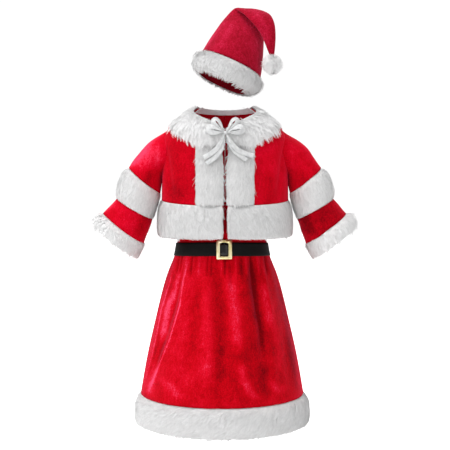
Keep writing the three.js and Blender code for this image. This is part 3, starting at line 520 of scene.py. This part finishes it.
# Scuffs and soft creases in the coating, 17 mm across.
cloudy = add_node(tree, "ShaderNodeTexNoise", {"Vector": place, "Scale": 60.0, "Detail": 4.0}).outputs["Fac"]
black = add_node(tree, "ShaderNodeValToRGB", {"Fac": cloudy})
black.color_ramp.elements[0].position, black.color_ramp.elements[0].color = 0.35, linear("#070707")
black.color_ramp.elements[1].position, black.color_ramp.elements[1].color = 0.7, linear("#0d0d0d")
tree.links.new(black.outputs["Color"], shader.inputs["Base Color"])
# Grain of the coating, 0.4 mm on the real strap and drawn 0.9 mm.
grain = add_node(tree, "ShaderNodeTexNoise", {"Vector": place, "Scale": 1100.0, "Detail": 2.0}).outputs["Fac"]
tree.links.new(add_node(tree, "ShaderNodeBump", {"Strength": 0.25, "Distance": 0.0004, "Height": grain})
               .outputs["Normal"], shader.inputs["Normal"])

strap = cloth_from("belt_strap", "belt_strap_webbing", 2)
finish_cloth(strap, "belt_strap", strap_coat)

# The loose end is varnished: black as well, but it mirrors the light in one soft upright streak.
pass_gloss, tree, shader = new_material(
    "black_polyurethane_varnished", Base_Color=linear("#070707"), Roughness=0.22, Specular_IOR_Level=0.25,
    Coat_Weight=0.3, Coat_Roughness=0.14)
place = add_node(tree, "ShaderNodeTexCoord").outputs["Object"]
# Ripples of the varnish over the weave, 6 mm apart.
ripple = add_node(tree, "ShaderNodeTexNoise", {"Vector": place, "Scale": 160.0, "Detail": 2.0}).outputs["Fac"]
tree.links.new(add_node(tree, "ShaderNodeBump", {"Strength": 0.1, "Distance": 0.0006, "Height": ripple})
               .outputs["Normal"], shader.inputs["Normal"])
loose_end = cloth_from("belt_pass", "belt_pass_strap", 2)
# It bulges forward between the frame's rails, and its edges lie back.
BULGE, EDGES_BACK = 0.0009, 0.0002
points = points_of(loose_end)
across = (points[:, 0] - (points[:, 0].max() + points[:, 0].min()) / 2) / np.ptp(points[:, 0]) * 2
points[:, 1] -= BULGE * (1 - across ** 2) - EDGES_BACK
move_points(loose_end, points)
finish_cloth(loose_end, "belt_pass", pass_gloss)


# ---------------------------------------------------------------------------
# Buckle: a frame cast in zinc and plated pale gold, with a bar across its
# window that the strap runs over.
# ---------------------------------------------------------------------------
# The plating is a pale warm mirror, a little duller where it has been handled.
gold, tree, shader = new_material(
    "zinc_cast_pale_gold_plated", Base_Color=linear("#efe2a4"), Metallic=1.0, Roughness=0.30)
place = add_node(tree, "ShaderNodeTexCoord").outputs["Object"]
# Handled patches, 11 mm across.
wear = add_node(tree, "ShaderNodeTexNoise", {"Vector": place, "Scale": 90.0, "Detail": 5.0}).outputs["Fac"]
dull = add_node(tree, "ShaderNodeMapRange", {"Value": wear, "From Min": 0.3, "From Max": 0.7, "To Min": 0.26,
                                             "To Max": 0.42}).outputs["Result"]
tree.links.new(dull, shader.inputs["Roughness"])
tint = add_node(tree, "ShaderNodeValToRGB", {"Fac": wear})
tint.color_ramp.elements[0].position, tint.color_ramp.elements[0].color = 0.3, linear("#ecdc94")
tint.color_ramp.elements[1].position, tint.color_ramp.elements[1].color = 0.7, linear("#fff6d2")
tree.links.new(tint.outputs["Color"], shader.inputs["Base Color"])

bpy.data.objects["buckle_bar"].data.materials.clear()
bpy.data.objects["buckle_bar"].data.materials.append(gold)

BUCKLE_WIDTH, BUCKLE_HEIGHT, BUCKLE_RAIL, BUCKLE_THICKNESS = 0.0368, 0.0458, 0.0080, 0.003
WINDOW_WIDTH, WINDOW_HEIGHT = 0.0194, 0.0310
SHARP_EDGE = math.radians(69)
bpy.ops.object.select_all(action="DESELECT")
bpy.ops.mesh.primitive_plane_add(size=1.0, location=(0.0, 0.0, -BUCKLE_THICKNESS / 2))
buckle = bpy.context.object
buckle.name = "buckle_frame_cast"
bpy.ops.object.mode_set(mode="EDIT")
bpy.ops.transform.resize(value=(BUCKLE_WIDTH, BUCKLE_HEIGHT, 1.0))
bpy.ops.mesh.inset(thickness=BUCKLE_RAIL)
bpy.ops.transform.resize(value=(WINDOW_WIDTH / (BUCKLE_WIDTH - 2 * BUCKLE_RAIL),
                                WINDOW_HEIGHT / (BUCKLE_HEIGHT - 2 * BUCKLE_RAIL), 1.0))
bpy.ops.mesh.delete(type="FACE")
bpy.ops.mesh.select_all(action="SELECT")
bpy.ops.mesh.extrude_region_move(TRANSFORM_OT_translate={"value": (0.0, 0.0, BUCKLE_THICKNESS)})
bpy.ops.mesh.select_all(action="SELECT")
bpy.ops.mesh.normals_make_consistent(inside=False)
# The cast face: each rail is rounded over from both of its edges.
bpy.ops.mesh.select_mode(type="EDGE")
bpy.ops.mesh.select_all(action="DESELECT")
shape = bmesh.from_edit_mesh(buckle.data)
for edge in shape.edges:
    in_front = sum(corner.co.z for corner in edge.verts) > 0
    edge.select_set(len(edge.link_faces) == 2 and edge.calc_face_angle(0.0) > SHARP_EDGE and in_front)
shape.select_flush_mode()
bmesh.update_edit_mesh(buckle.data)
bpy.ops.mesh.bevel(offset=0.0026, segments=5, profile=0.42, affect="EDGES")
bpy.ops.object.mode_set(mode="OBJECT")
bpy.ops.object.shade_smooth_by_angle(angle=math.radians(40))
# It lies on the belt exactly as its solid does.
corners = points_of(bpy.data.objects["buckle_frame"])
low, high = corners.min(0), corners.max(0)
_, _, turned = np.linalg.svd(np.unique(corners.round(6), axis=0) - (low + high) / 2)
up, out = Vector(turned[0]), Vector(turned[2])
up = up if up.z > 0 else -up
out = out if out.y < 0 else -out
seat = Matrix((up.cross(out), up, out)).transposed().to_4x4()
seat.translation = Vector((low + high) / 2)
buckle.data.transform(seat)
finish_cloth(buckle, "buckle_frame", gold)


# ---------------------------------------------------------------------------
# Fur trims: strips of long-pile fake fur, acrylic fibre on a knitted backing,
# sewn over every edge. Each strip is its backing, a little sunk, and the
# pile that grows from it and lies down along the strip.
# ---------------------------------------------------------------------------
def acrylic_fur(name, shadow, light):
    """Long acrylic pile: near white, soft and matt, each lock a little lighter or darker than the next, with
    painted shade at its root and a painted brightness for each strip.
    """
    material, tree, shader = new_material(
        name, Roughness=0.9, Specular_IOR_Level=0.1, Sheen_Weight=0.4, Sheen_Roughness=0.6)
    tone_and_painted_shade = add_node(tree, "ShaderNodeAttribute", attribute_name="tone_and_painted_shade").outputs["Fac"]
    white = add_node(tree, "ShaderNodeValToRGB", {"Fac": tone_and_painted_shade})
    white.color_ramp.elements[0].color = linear(shadow)
    white.color_ramp.elements[1].color = linear(light)
    tree.links.new(white.outputs["Color"], shader.inputs["Base Color"])
    return material


def knitted_backing(name, shadow, light):
    """The pile's dense underlayer, seen only between the locks."""
    material, tree, shader = new_material(name, Roughness=0.95, Specular_IOR_Level=0.1)
    place = add_node(tree, "ShaderNodeTexCoord").outputs["Object"]
    # Clumps of the underlayer, 4 mm apart.
    down = add_node(tree, "ShaderNodeTexNoise", {"Vector": place, "Scale": 260.0, "Detail": 5.0,
                                                 "Roughness": 0.7}).outputs["Fac"]
    shade = add_node(tree, "ShaderNodeValToRGB", {"Fac": down})
    shade.color_ramp.elements[0].position, shade.color_ramp.elements[0].color = 0.3, linear(shadow)
    shade.color_ramp.elements[1].position, shade.color_ramp.elements[1].color = 0.7, linear(light)
    tree.links.new(shade.outputs["Color"], shader.inputs["Base Color"])
    tree.links.new(add_node(tree, "ShaderNodeBump", {"Strength": 0.7, "Distance": 0.002, "Height": down})
                   .outputs["Normal"], shader.inputs["Normal"])
    return material


fur_white = acrylic_fur("acrylic_long_pile_white", "#cdcdcd", "#f4f4f4")
backing_white = knitted_backing("polyester_knit_backing_white", "#cecece", "#ececec")


def normals_of(piece):
    """The way the piece's surface faces at each vertex, as rows of x, y and z."""
    normals = np.empty(len(piece.data.vertices) * 3)
    piece.data.vertices.foreach_get("normal", normals)
    return normals.reshape(-1, 3)


def fur_backing(node, name, outer, seed):
    """The strip's body: the solid's form with its outer side drawn in by sink, and slightly lumpy."""
    sink, lumps, lumps_per_metre = 0.0026, 0.0010, 38.0
    surface, padding = 0.0004, 0.05
    piece = cloth_from(node, name, 1, held=0.5)
    points, normals = points_of(piece), normals_of(piece)
    shell = BVHTree.FromObject(piece, bpy.context.evaluated_depsgraph_get())
    facing = outer(points, normals)
    shift = Vector((seed * 5.3, seed * 2.9, seed * 7.1))
    depth = np.zeros(len(points))
    for i in np.nonzero(facing > 0.02)[0]:
        p, n = Vector(points[i]), Vector(normals[i])
        thick = shell.ray_cast(p - n * surface, -n, padding)[3] or padding
        lump = noise.noise(p * lumps_per_metre + shift) * lumps
        depth[i] = min(sink + lump, thick * 0.45) * facing[i]
    move_points(piece, points - normals * depth[:, None])
    return piece


def fur_pile(backing, name, outer, flow, count, seed, length=0.0135, lift=0.17, spread=1.0, width=0.00075,
             clump=12, gather=0.3, swirl=0.45, overhang=0.0025, wisps=0.0, clipped=None, bright=0.62):
    """Grows count tapered locks on the backing's outer side. Lengths are in metres.

    flow gives the way the pile lies at each root, lift is how steeply a lock rises, spread how much the
    locks differ, width the lock's width at its root, clump how many locks make a tuft, gather how far
    they close to its point, swirl how far the flow wanders, overhang how far a lock may reach past the
    strip, wisps the share of tufts that hang over its edge in a point, clipped the share of its length
    that a lock keeps, and bright how light the whole strip is painted: painted light, whiter on strips
    that are lit more and greyer on those lit less.
    A real fibre is 0.05 mm thick. Each blade here stands for a lock of them."""
    droop, tip_rise = 0.42, 0.58
    rng = np.random.RandomState(seed)
    mesh = backing.data
    mesh.calc_loop_triangles()
    corners = np.empty(len(mesh.loop_triangles) * 3, np.int64)
    mesh.loop_triangles.foreach_get("vertices", corners)
    corners = corners.reshape(-1, 3)
    points, normals = points_of(backing), normals_of(backing)
    a, b, c = points[corners[:, 0]], points[corners[:, 1]], points[corners[:, 2]]
    across = np.cross(b - a, c - a)
    area = np.linalg.norm(across, axis=1) / 2
    middle = (a + b + c) / 3
    chance = area * outer(middle, across / np.maximum(2 * area, 1e-12)[:, None])
    triangle = rng.choice(len(area), size=count, p=chance / chance.sum())
    u, v = rng.rand(count), rng.rand(count)
    over = u + v > 1
    u[over], v[over] = 1 - u[over], 1 - v[over]
    weights = np.stack([1 - u - v, u, v], 1)[:, :, None]
    root = (points[corners[triangle]] * weights).sum(1)
    normal = (normals[corners[triangle]] * weights).sum(1)
    normal /= np.linalg.norm(normal, axis=1)[:, None]

    # Locks gather in tufts: each lock leans towards the middle one of its tuft.
    tufts = max(8, count // clump)
    tree = KDTree(tufts)
    for i in range(tufts):
        tree.insert(root[i], i)
    tree.balance()
    tuft = np.array([tree.find(p)[1] for p in root])

    # The way the pile lies, level with the surface, turned by a slow wandering angle.
    shift = Vector((seed * 1.3, seed * 2.1, seed * 0.7))
    wander = np.array([noise.noise(Vector(p) * 30.0 + shift) + 0.5 * noise.noise(Vector(p) * 85.0 + shift)
                       for p in root[:tufts]])[tuft]
    lie = flow(root)
    lie -= normal * (lie * normal).sum(1)[:, None]
    lie /= np.maximum(np.linalg.norm(lie, axis=1), 1e-6)[:, None]
    side = np.cross(normal, lie)
    turn = wander * swirl + (rng.rand(tufts)[tuft] - 0.5) * swirl * 0.5 + rng.normal(0, 0.16 * spread, count)
    lie = lie * np.cos(turn)[:, None] + side * np.sin(turn)[:, None]
    side = np.cross(normal, lie)
    reach = length * (0.72 + 0.5 * rng.rand(tufts)[tuft])
    reach = reach * (1 + rng.normal(0, 0.14 * spread, count)).clip(0.5, 1.5)
    rise = lift * (0.8 + 0.4 * rng.rand(tufts)[tuft])
    rise = rise * (1 + rng.normal(0, 0.25 * spread, count)).clip(0.3, 1.8)
    keeps = clipped(root) if clipped else np.ones(count)
    reach *= keeps

    # A lock that would hang over the strip's edge by more than overhang is shorter, unless it is a wisp.
    shell = BVHTree.FromPolygons(points.tolist(), corners.tolist())
    tip = root + lie * reach[:, None] + normal * (reach * rise * tip_rise)[:, None]
    away = np.array([shell.find_nearest(p)[3] for p in tip.tolist()])
    hangs = away - reach * rise * tip_rise > 0.001
    wispy = (rng.rand(tufts) < wisps)[tuft] & hangs & (keeps > 0.9)
    reach *= np.clip((overhang + reach * rise * tip_rise) / np.maximum(away, 1e-5), 0.3, 1.0)
    reach = np.where(wispy, reach * 1.35 + 0.004, reach)

    # Each lock's middle line at its root, its half and its tip, drawn in to the leading lock's.
    spine = []
    for t in (0.0, 0.5, 1.0):
        rises = reach * rise * t * (1 - droop * t)
        line = root + lie * (reach * t)[:, None] + normal * rises[:, None]
        pull = (np.where(wispy, max(gather, 0.75), gather) * t ** 1.4)[:, None]
        spine.append(line * (1 - pull) + line[:tufts][tuft] * pull)

    twist = rng.normal(0, 0.24, count)
    flat = side * np.cos(twist)[:, None] + normal * np.sin(twist)[:, None]
    wide = width * (0.7 + 0.6 * rng.rand(count))
    verts = np.empty((count, 5, 3))
    for k, share in enumerate((0.5, 0.42)):
        verts[:, 2 * k] = spine[k] - flat * (wide * share)[:, None]
        verts[:, 2 * k + 1] = spine[k] + flat * (wide * share)[:, None]
    verts[:, 4] = spine[2]
    # A blade is a quad and its point, and its face looks away from the strip.
    pattern = np.array([[0, 1, 3], [0, 3, 2], [2, 3, 4]])
    faces = (np.arange(count) * 5)[:, None, None] + pattern[None]
    edge = np.cross(verts[:, 1] - verts[:, 0], verts[:, 3] - verts[:, 0])
    turned = (edge * normal).sum(1) < 0
    faces[turned] = faces[turned][:, :, ::-1]

    pile = bpy.data.meshes.new(name)
    pile.vertices.add(count * 5)
    pile.vertices.foreach_set("co", verts.ravel())
    pile.loops.add(count * 9)
    pile.loops.foreach_set("vertex_index", faces.ravel())
    pile.polygons.add(count * 3)
    pile.polygons.foreach_set("loop_start", np.arange(count * 3) * 3)
    pile.polygons.foreach_set("use_smooth", np.ones(count * 3, bool))
    pile.update(calc_edges=True)
    # A lock is painted darker at its root, a painted shade where its neighbours hide it, and paler at its
    # tip, and each tuft has its own shade at random.
    own = bright + 0.3 * (rng.rand(tufts)[tuft] - 0.5) + rng.normal(0, 0.13, count)
    tone_and_painted_shade = np.empty((count, 5))
    for k, share in enumerate((0.0, 0.0, 0.7, 0.7, 1.0)):
        tone_and_painted_shade[:, k] = own * (0.72 + 0.28 * share) + 0.10 * share
    pile.attributes.new("tone_and_painted_shade", "FLOAT", "POINT").data.foreach_set("value", tone_and_painted_shade.clip(0, 1).ravel())
    piece = bpy.data.objects.new(name, pile)
    bpy.context.collection.objects.link(piece)
    return piece


def ring_outside(axis, centre):
    """A test for a strip that goes round: 1 on its outer side, 0 on the side that faces the wearer."""
    axis, centre = Vector(axis).normalized(), np.array(centre)
    line = np.array(axis)

    def test(points, normals):
        out = points - centre
        out -= line * (out @ line)[:, None]
        out /= np.maximum(np.linalg.norm(out, axis=1), 1e-6)[:, None]
        return ease(-0.25, 0.35, (out * normals).sum(1))
    return test


def lies(direction):
    """A pile that lies one way all over."""
    way = np.array(direction, float)
    return lambda points: np.repeat(way[None], len(points), axis=0)


def lies_outward(centre, out, down, turn):
    """A pile that lies away from a middle line and down, turned a little round it."""
    middle = np.array(centre, float)

    def flow(points):
        away = points[:, :2] - middle
        away /= np.maximum(np.linalg.norm(away, axis=1), 1e-6)[:, None]
        return np.column_stack([away[:, 0] * out - away[:, 1] * turn, away[:, 1] * out + away[:, 0] * turn,
                                np.full(len(points), -down)])
    return flow


def trim(node, outer, flow, count, seed, flat, held, rests_on, area=None, settle=None, **pile):
    """One strip of fur: its backing, and the pile that grows on it once settle has moved the backing."""
    backing = fur_backing(node, node + "_backing", outer, seed)
    if settle:
        settle(backing)
    grown = fur_pile(backing, node + "_pile", outer, flow, count, seed, **pile)
    finish_cloth(backing, node, backing_white)
    finish_cloth(grown, node, fur_white)


def middle_of(node):
    """The middle of the box round a node's solid."""
    low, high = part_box(node)
    return tuple((low + high) / 2)


def clear_of_buckle(points):
    """The pile is short where the hem lies on the buckle's upper edge."""
    shortest = 0.25
    low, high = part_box("buckle_frame")
    beside = ease(0.004, 0.012, np.abs(points[:, 0] - (low[0] + high[0]) / 2) - (high[0] - low[0]) / 2)
    above = ease(0.004, 0.022, points[:, 2] - high[2])
    behind = ease(-0.02, 0.02, points[:, 1])
    return shortest + (1 - shortest) * np.maximum(np.maximum(beside, above), behind)


def combed_over_slit(sign):
    """A front band's pile lies down and a little outward, and beside the opening it hangs over it."""
    outward, over_slit = 0.16, 0.6

    def flow(points):
        inward = 1 - ease(0.010, 0.020, np.abs(points[:, 0]))
        return np.stack([sign * (outward - over_slit * inward), 0 * inward, -1 + 0 * inward], 1)
    return flow


def faces_forward(points, normals):
    """1 on a front band's outer side, 0 on the side that faces the wearer."""
    return ease(-0.2, 0.4, -normals[:, 1])


# Each strip's bright is painted light: the one fur is painted greyer on the front bands and hem bands and
# whiter on the collar, cuffs and pompom, as the light falls on them.
trim("jacket_hem_band", ring_outside((0, 0, 1), (0, 0, 0)), lies_outward((0, 0), 0.1, 1.0, 0.35),
     count=39000, seed=3, flat=(0.86, 0.085), held="hung", rests_on=list(JACKET_PANELS),
     wisps=0.02, bright=0.26, clipped=clear_of_buckle)
# The arm's two strips: locks, seed, flat size in metres, and how the pile differs from the others'.
ARM_TRIMS = {
    "sleeve_band": (13000, 21, (0.35, 0.058), dict(overhang=0.002, bright=0.5, settle=settle_to_body)),
    "cuff": (11000, 31, (0.33, 0.045), dict(overhang=0.006, bright=0.8, wisps=0.1)),
}
for side, sign in (("left", -1), ("right", 1)):
    trim(f"front_band_{side}", faces_forward, combed_over_slit(sign), count=11000, seed=11 + sign,
         flat=(0.058, 0.21), held="hung", rests_on=[f"jacket_front_{side}"],
         wisps=0.25, overhang=0.0022, bright=0.22)
    arm = Vector(middle_of(f"cuff_{side}")) - Vector(middle_of(f"sleeve_band_{side}"))
    for part, (count, seed, flat, pile) in ARM_TRIMS.items():
        node = f"{part}_{side}"
        trim(node, ring_outside(arm, middle_of(node)), lies(arm.normalized()), count=count,
             seed=seed + sign, flat=flat, held="hung", rests_on=[f"sleeve_lower_{side}"], **pile)

# The front edges are bound with the jacket's plush and the hem is faced with it. It shows in the slit.
for node in ("jacket_hem_band", "front_band_left", "front_band_right"):
    bound = bpy.data.objects[node + "_backing"]
    bound.data.materials.append(jacket_velour)
    brush_and_paint_light(bound)
    for face in bound.data.polygons:
        edge = abs(face.center.x) < 0.016 and abs(face.normal.x) > 0.45 and face.center.y < 0
        inside = node == "jacket_hem_band" and face.normal.xy.dot(face.center.xy.normalized()) < -0.5
        if edge or inside:
            face.material_index = 1

trim("skirt_hem_band", ring_outside((0, 0, 1), (SKIRT_CENTRE, 0, 0)),
     lies_outward((SKIRT_CENTRE, 0), 0.15, 0.85, -0.9), count=46000, seed=41, flat=(1.15, 0.074), held="hung",
     rests_on=list(SKIRT_PANELS), length=0.0125, lift=0.12, swirl=0.35, gather=0.2, wisps=0.3, bright=0.4)

hat_mouth = Vector(middle_of("hat_band"))
HAT_AXIS = Vector((0.41, 0.10, 0.90)).normalized()
trim("hat_band", ring_outside(HAT_AXIS, tuple(hat_mouth)), lies(-HAT_AXIS), count=28000, seed=51,
     flat=(0.49, 0.052), held="hung", rests_on=["hat_cone"], length=0.010, lift=0.16, overhang=0.006,
     swirl=0.35, clump=10, gather=0.15, wisps=0.5, width=0.0006, bright=0.5)
# The hat is lined with its own plush, which shows inside the rim.
rim = bpy.data.objects["hat_band_backing"]
rim.data.materials.append(hat_velour)
brush_and_paint_light(rim, ground=0.36)
for face in rim.data.polygons:
    out = face.center - hat_mouth
    out -= HAT_AXIS * out.dot(HAT_AXIS)
    face.material_index = 1 if face.normal.dot(out.normalized()) < -0.35 else 0


def cape_outside(points, normals):
    """1 on the cape's upper and outer side, 0 underneath."""
    out = points[:, :2] / np.maximum(np.linalg.norm(points[:, :2], axis=1), 1e-6)[:, None]
    return ease(-0.1, 0.45, (out * normals[:, :2]).sum(1) * 0.75 + normals[:, 2] * 0.7)


def short_at_the_neck(points):
    """The collar's pile is brushed away from the neck and lies short and flat at its front."""
    shortest = 0.45
    wide = np.linalg.norm(points[:, :2] * (1.0, 1.15), axis=1)
    return shortest + (1 - shortest) * np.maximum(ease(0.055, 0.085, wide), ease(-0.01, 0.02, points[:, 1]))


trim("collar", cape_outside, lies_outward((0, 0), 0.8, 0.75, 0.15), count=36000, seed=61,
     flat=(0.75, 0.11), area=0.05, held="draped", rests_on=list(JACKET_PANELS), length=0.016, lift=0.10,
     width=0.0006, overhang=0.010, wisps=0.45, gather=0.2, bright=0.85, clipped=short_at_the_neck)


# ---------------------------------------------------------------------------
# Pompom: a round of the same fur drawn up over a wad of filling, its pile
# clipped to a ball, and sewn to the hat's tip.
# ---------------------------------------------------------------------------
POMPOM_CORE, POMPOM_SAG = 0.0195, 0.006
ball = Vector(middle_of("pompom"))


def stands_off_core(points):
    """The pile stands straight out all round, and sags a little."""
    return points - np.array(ball) + np.array([0.0, 0.0, -POMPOM_SAG])


bpy.ops.object.select_all(action="DESELECT")
bpy.ops.mesh.primitive_ico_sphere_add(subdivisions=5, radius=POMPOM_CORE, location=ball)
core = bpy.context.object
core.name = "pompom_backing"
bpy.ops.object.transform_apply(location=True, rotation=True, scale=True)
bpy.ops.object.shade_smooth()
wrinkle(core, 0.0012, 90.0, (1.0, 1.0, 1.0), 6.0)
# Its bright of 1.0 paints the pompom the whitest of all the fur, a painted light.
grown = fur_pile(core, "pompom_pile", lambda points, normals: np.ones(len(points)), stands_off_core,
                 count=15000, seed=72, length=0.0072, lift=0.8, spread=1.4, width=0.0006, clump=6,
                 gather=0.1, swirl=3.0, overhang=0.02, bright=1.0)
for piece, material in ((core, backing_white), (grown, fur_white)):
    finish_cloth(piece, "pompom", material)


# ---------------------------------------------------------------------------
# Neck tape: a narrow tape of ribbed cotton, folded and sewn over the raw edge
# inside the back of the neck, where it keeps the fur off the skin.
# ---------------------------------------------------------------------------
# Knitted cotton is matt, with a soft shadow between its upright ribs.
rib_cotton, tree, shader = new_material("cotton_rib_tape_white", Roughness=0.9, Specular_IOR_Level=0.15)
place = add_node(tree, "ShaderNodeTexCoord").outputs["Object"]
# Ribs 2 mm apart, drawn 3 mm apart.
ribs = add_node(tree, "ShaderNodeTexWave",
                {"Vector": place, "Scale": 105.0, "Distortion": 0.6, "Detail": 1.0},
                bands_direction="X").outputs["Fac"]
cotton = add_node(tree, "ShaderNodeValToRGB", {"Fac": ribs})
cotton.color_ramp.elements[0].color = linear("#e6eaec")
cotton.color_ramp.elements[1].color = linear("#fcfeff")
tree.links.new(cotton.outputs["Color"], shader.inputs["Base Color"])
tree.links.new(add_node(tree, "ShaderNodeBump", {"Strength": 0.6, "Distance": 0.0008, "Height": ribs})
               .outputs["Normal"], shader.inputs["Normal"])
tape = cloth_from("neck_tape", "neck_tape_rib", 2)
finish_cloth(tape, "neck_tape", rib_cotton)


# ---------------------------------------------------------------------------
# Bow: one length of white satin ribbon, laid in four loops and four tails and
# held by a knot. It closes the collar at the front of the neck.
# ---------------------------------------------------------------------------
# Woven satin: smooth, with a broad soft shine along its floats.
satin, tree, shader = new_material(
    "polyester_satin_ribbon_white", Roughness=0.42, Specular_IOR_Level=0.3, Sheen_Weight=0.1,
    Sheen_Roughness=0.3, Anisotropic=0.4)
place = add_node(tree, "ShaderNodeTexCoord").outputs["Object"]
# Soft ripples along the ribbon, 8 mm apart. Its threads are too fine to show.
silky = add_node(tree, "ShaderNodeTexNoise", {"Vector": place, "Scale": 120.0, "Detail": 3.0}).outputs["Fac"]
white = add_node(tree, "ShaderNodeValToRGB", {"Fac": silky})
white.color_ramp.elements[0].position, white.color_ramp.elements[0].color = 0.35, linear("#bcbdbe")
white.color_ramp.elements[1].position, white.color_ramp.elements[1].color = 0.7, linear("#d2d3d3")
tree.links.new(white.outputs["Color"], shader.inputs["Base Color"])
tree.links.new(add_node(tree, "ShaderNodeBump", {"Strength": 0.2, "Distance": 0.0008, "Height": silky})
               .outputs["Normal"], shader.inputs["Normal"])
# piece: flat width and length in metres
BOW_LENGTHS = {"bow_knot": (0.010, 0.012)}
for side in ("left", "right"):
    for part in ("upper", "lower"):
        BOW_LENGTHS[f"bow_loop_{part}_{side}"] = (0.011, 0.075)
    for part in ("outer", "inner"):
        BOW_LENGTHS[f"bow_tail_{side}_{part}"] = (0.011, 0.076)
for node, flat in BOW_LENGTHS.items():
    ribbon = cloth_from(node, node + "_satin", 2)
    finish_cloth(ribbon, node, satin)


# ---------------------------------------------------------------------------
# The studio: a white floor and surround, a broad soft light from the upper
# left, a softer one overhead, a weak fill from the right, and a small one low
# in front that the gold and the varnished strap mirror.
# ---------------------------------------------------------------------------
# Matt paper, lit so evenly that it is seen as plain white and throws little light back.
paper, tree, shader = new_material("white_background_paper", Base_Color=linear("#f6f6f6"), Roughness=0.9,
                                   Emission_Color=linear("#ffffff"))
seen = add_node(tree, "ShaderNodeLightPath").outputs["Is Camera Ray"]
glow = add_node(tree, "ShaderNodeMapRange", {"Value": seen, "To Min": 0.2, "To Max": 0.9})
tree.links.new(glow.outputs["Result"], shader.inputs["Emission Strength"])
bpy.ops.object.select_all(action="DESELECT")
bpy.ops.mesh.primitive_plane_add(size=12.0, location=(0.0, 2.0, -0.62))
floor = bpy.context.object
floor.name = "studio_floor"
floor.data.materials.append(paper)

world = bpy.data.worlds.new("studio")
bpy.context.scene.world = world
world.use_nodes = True
surround = world.node_tree.nodes["Background"]
surround.inputs["Color"].default_value = (1.0, 1.0, 1.0, 1.0)
seen = add_node(world.node_tree, "ShaderNodeLightPath").outputs["Is Camera Ray"]
brightness = add_node(world.node_tree, "ShaderNodeMapRange", {"Value": seen, "To Min": 0.62, "To Max": 1.05})
world.node_tree.links.new(brightness.outputs["Result"], surround.inputs["Strength"])

# light: place, power in watts, width in metres, and the point it faces
LIGHTS = {
    "key_light": ((-2.2, -1.2, 2.1), 58.0, 2.0, (0.0, 0.0, 0.0)),
    "fill_light": ((2.0, -2.2, 0.6), 6.0, 1.8, (0.0, 0.0, 0.0)),
    "front_light": ((-0.6, -2.8, -0.25), 5.0, 0.5, (0.0, -0.1, 0.0)),
    "top_light": ((0.0, -0.6, 3.0), 40.0, 1.8, (0.0, 0.0, 0.0)),
    "back_light": ((0.8, 2.4, 1.6), 26.0, 1.8, (0.0, 0.0, 0.1)),
}
for name, (spot, power, size, target) in LIGHTS.items():
    lamp = bpy.data.lights.new(name, "AREA")
    lamp.energy, lamp.size = power, size
    lamp_object = bpy.data.objects.new(name, lamp)
    lamp_object.location = spot
    lamp_object.rotation_euler = (Vector(target) - Vector(spot)).to_track_quat("-Z", "Y").to_euler()
    bpy.context.collection.objects.link(lamp_object)
bpy.context.scene.view_settings.view_transform = "Standard"
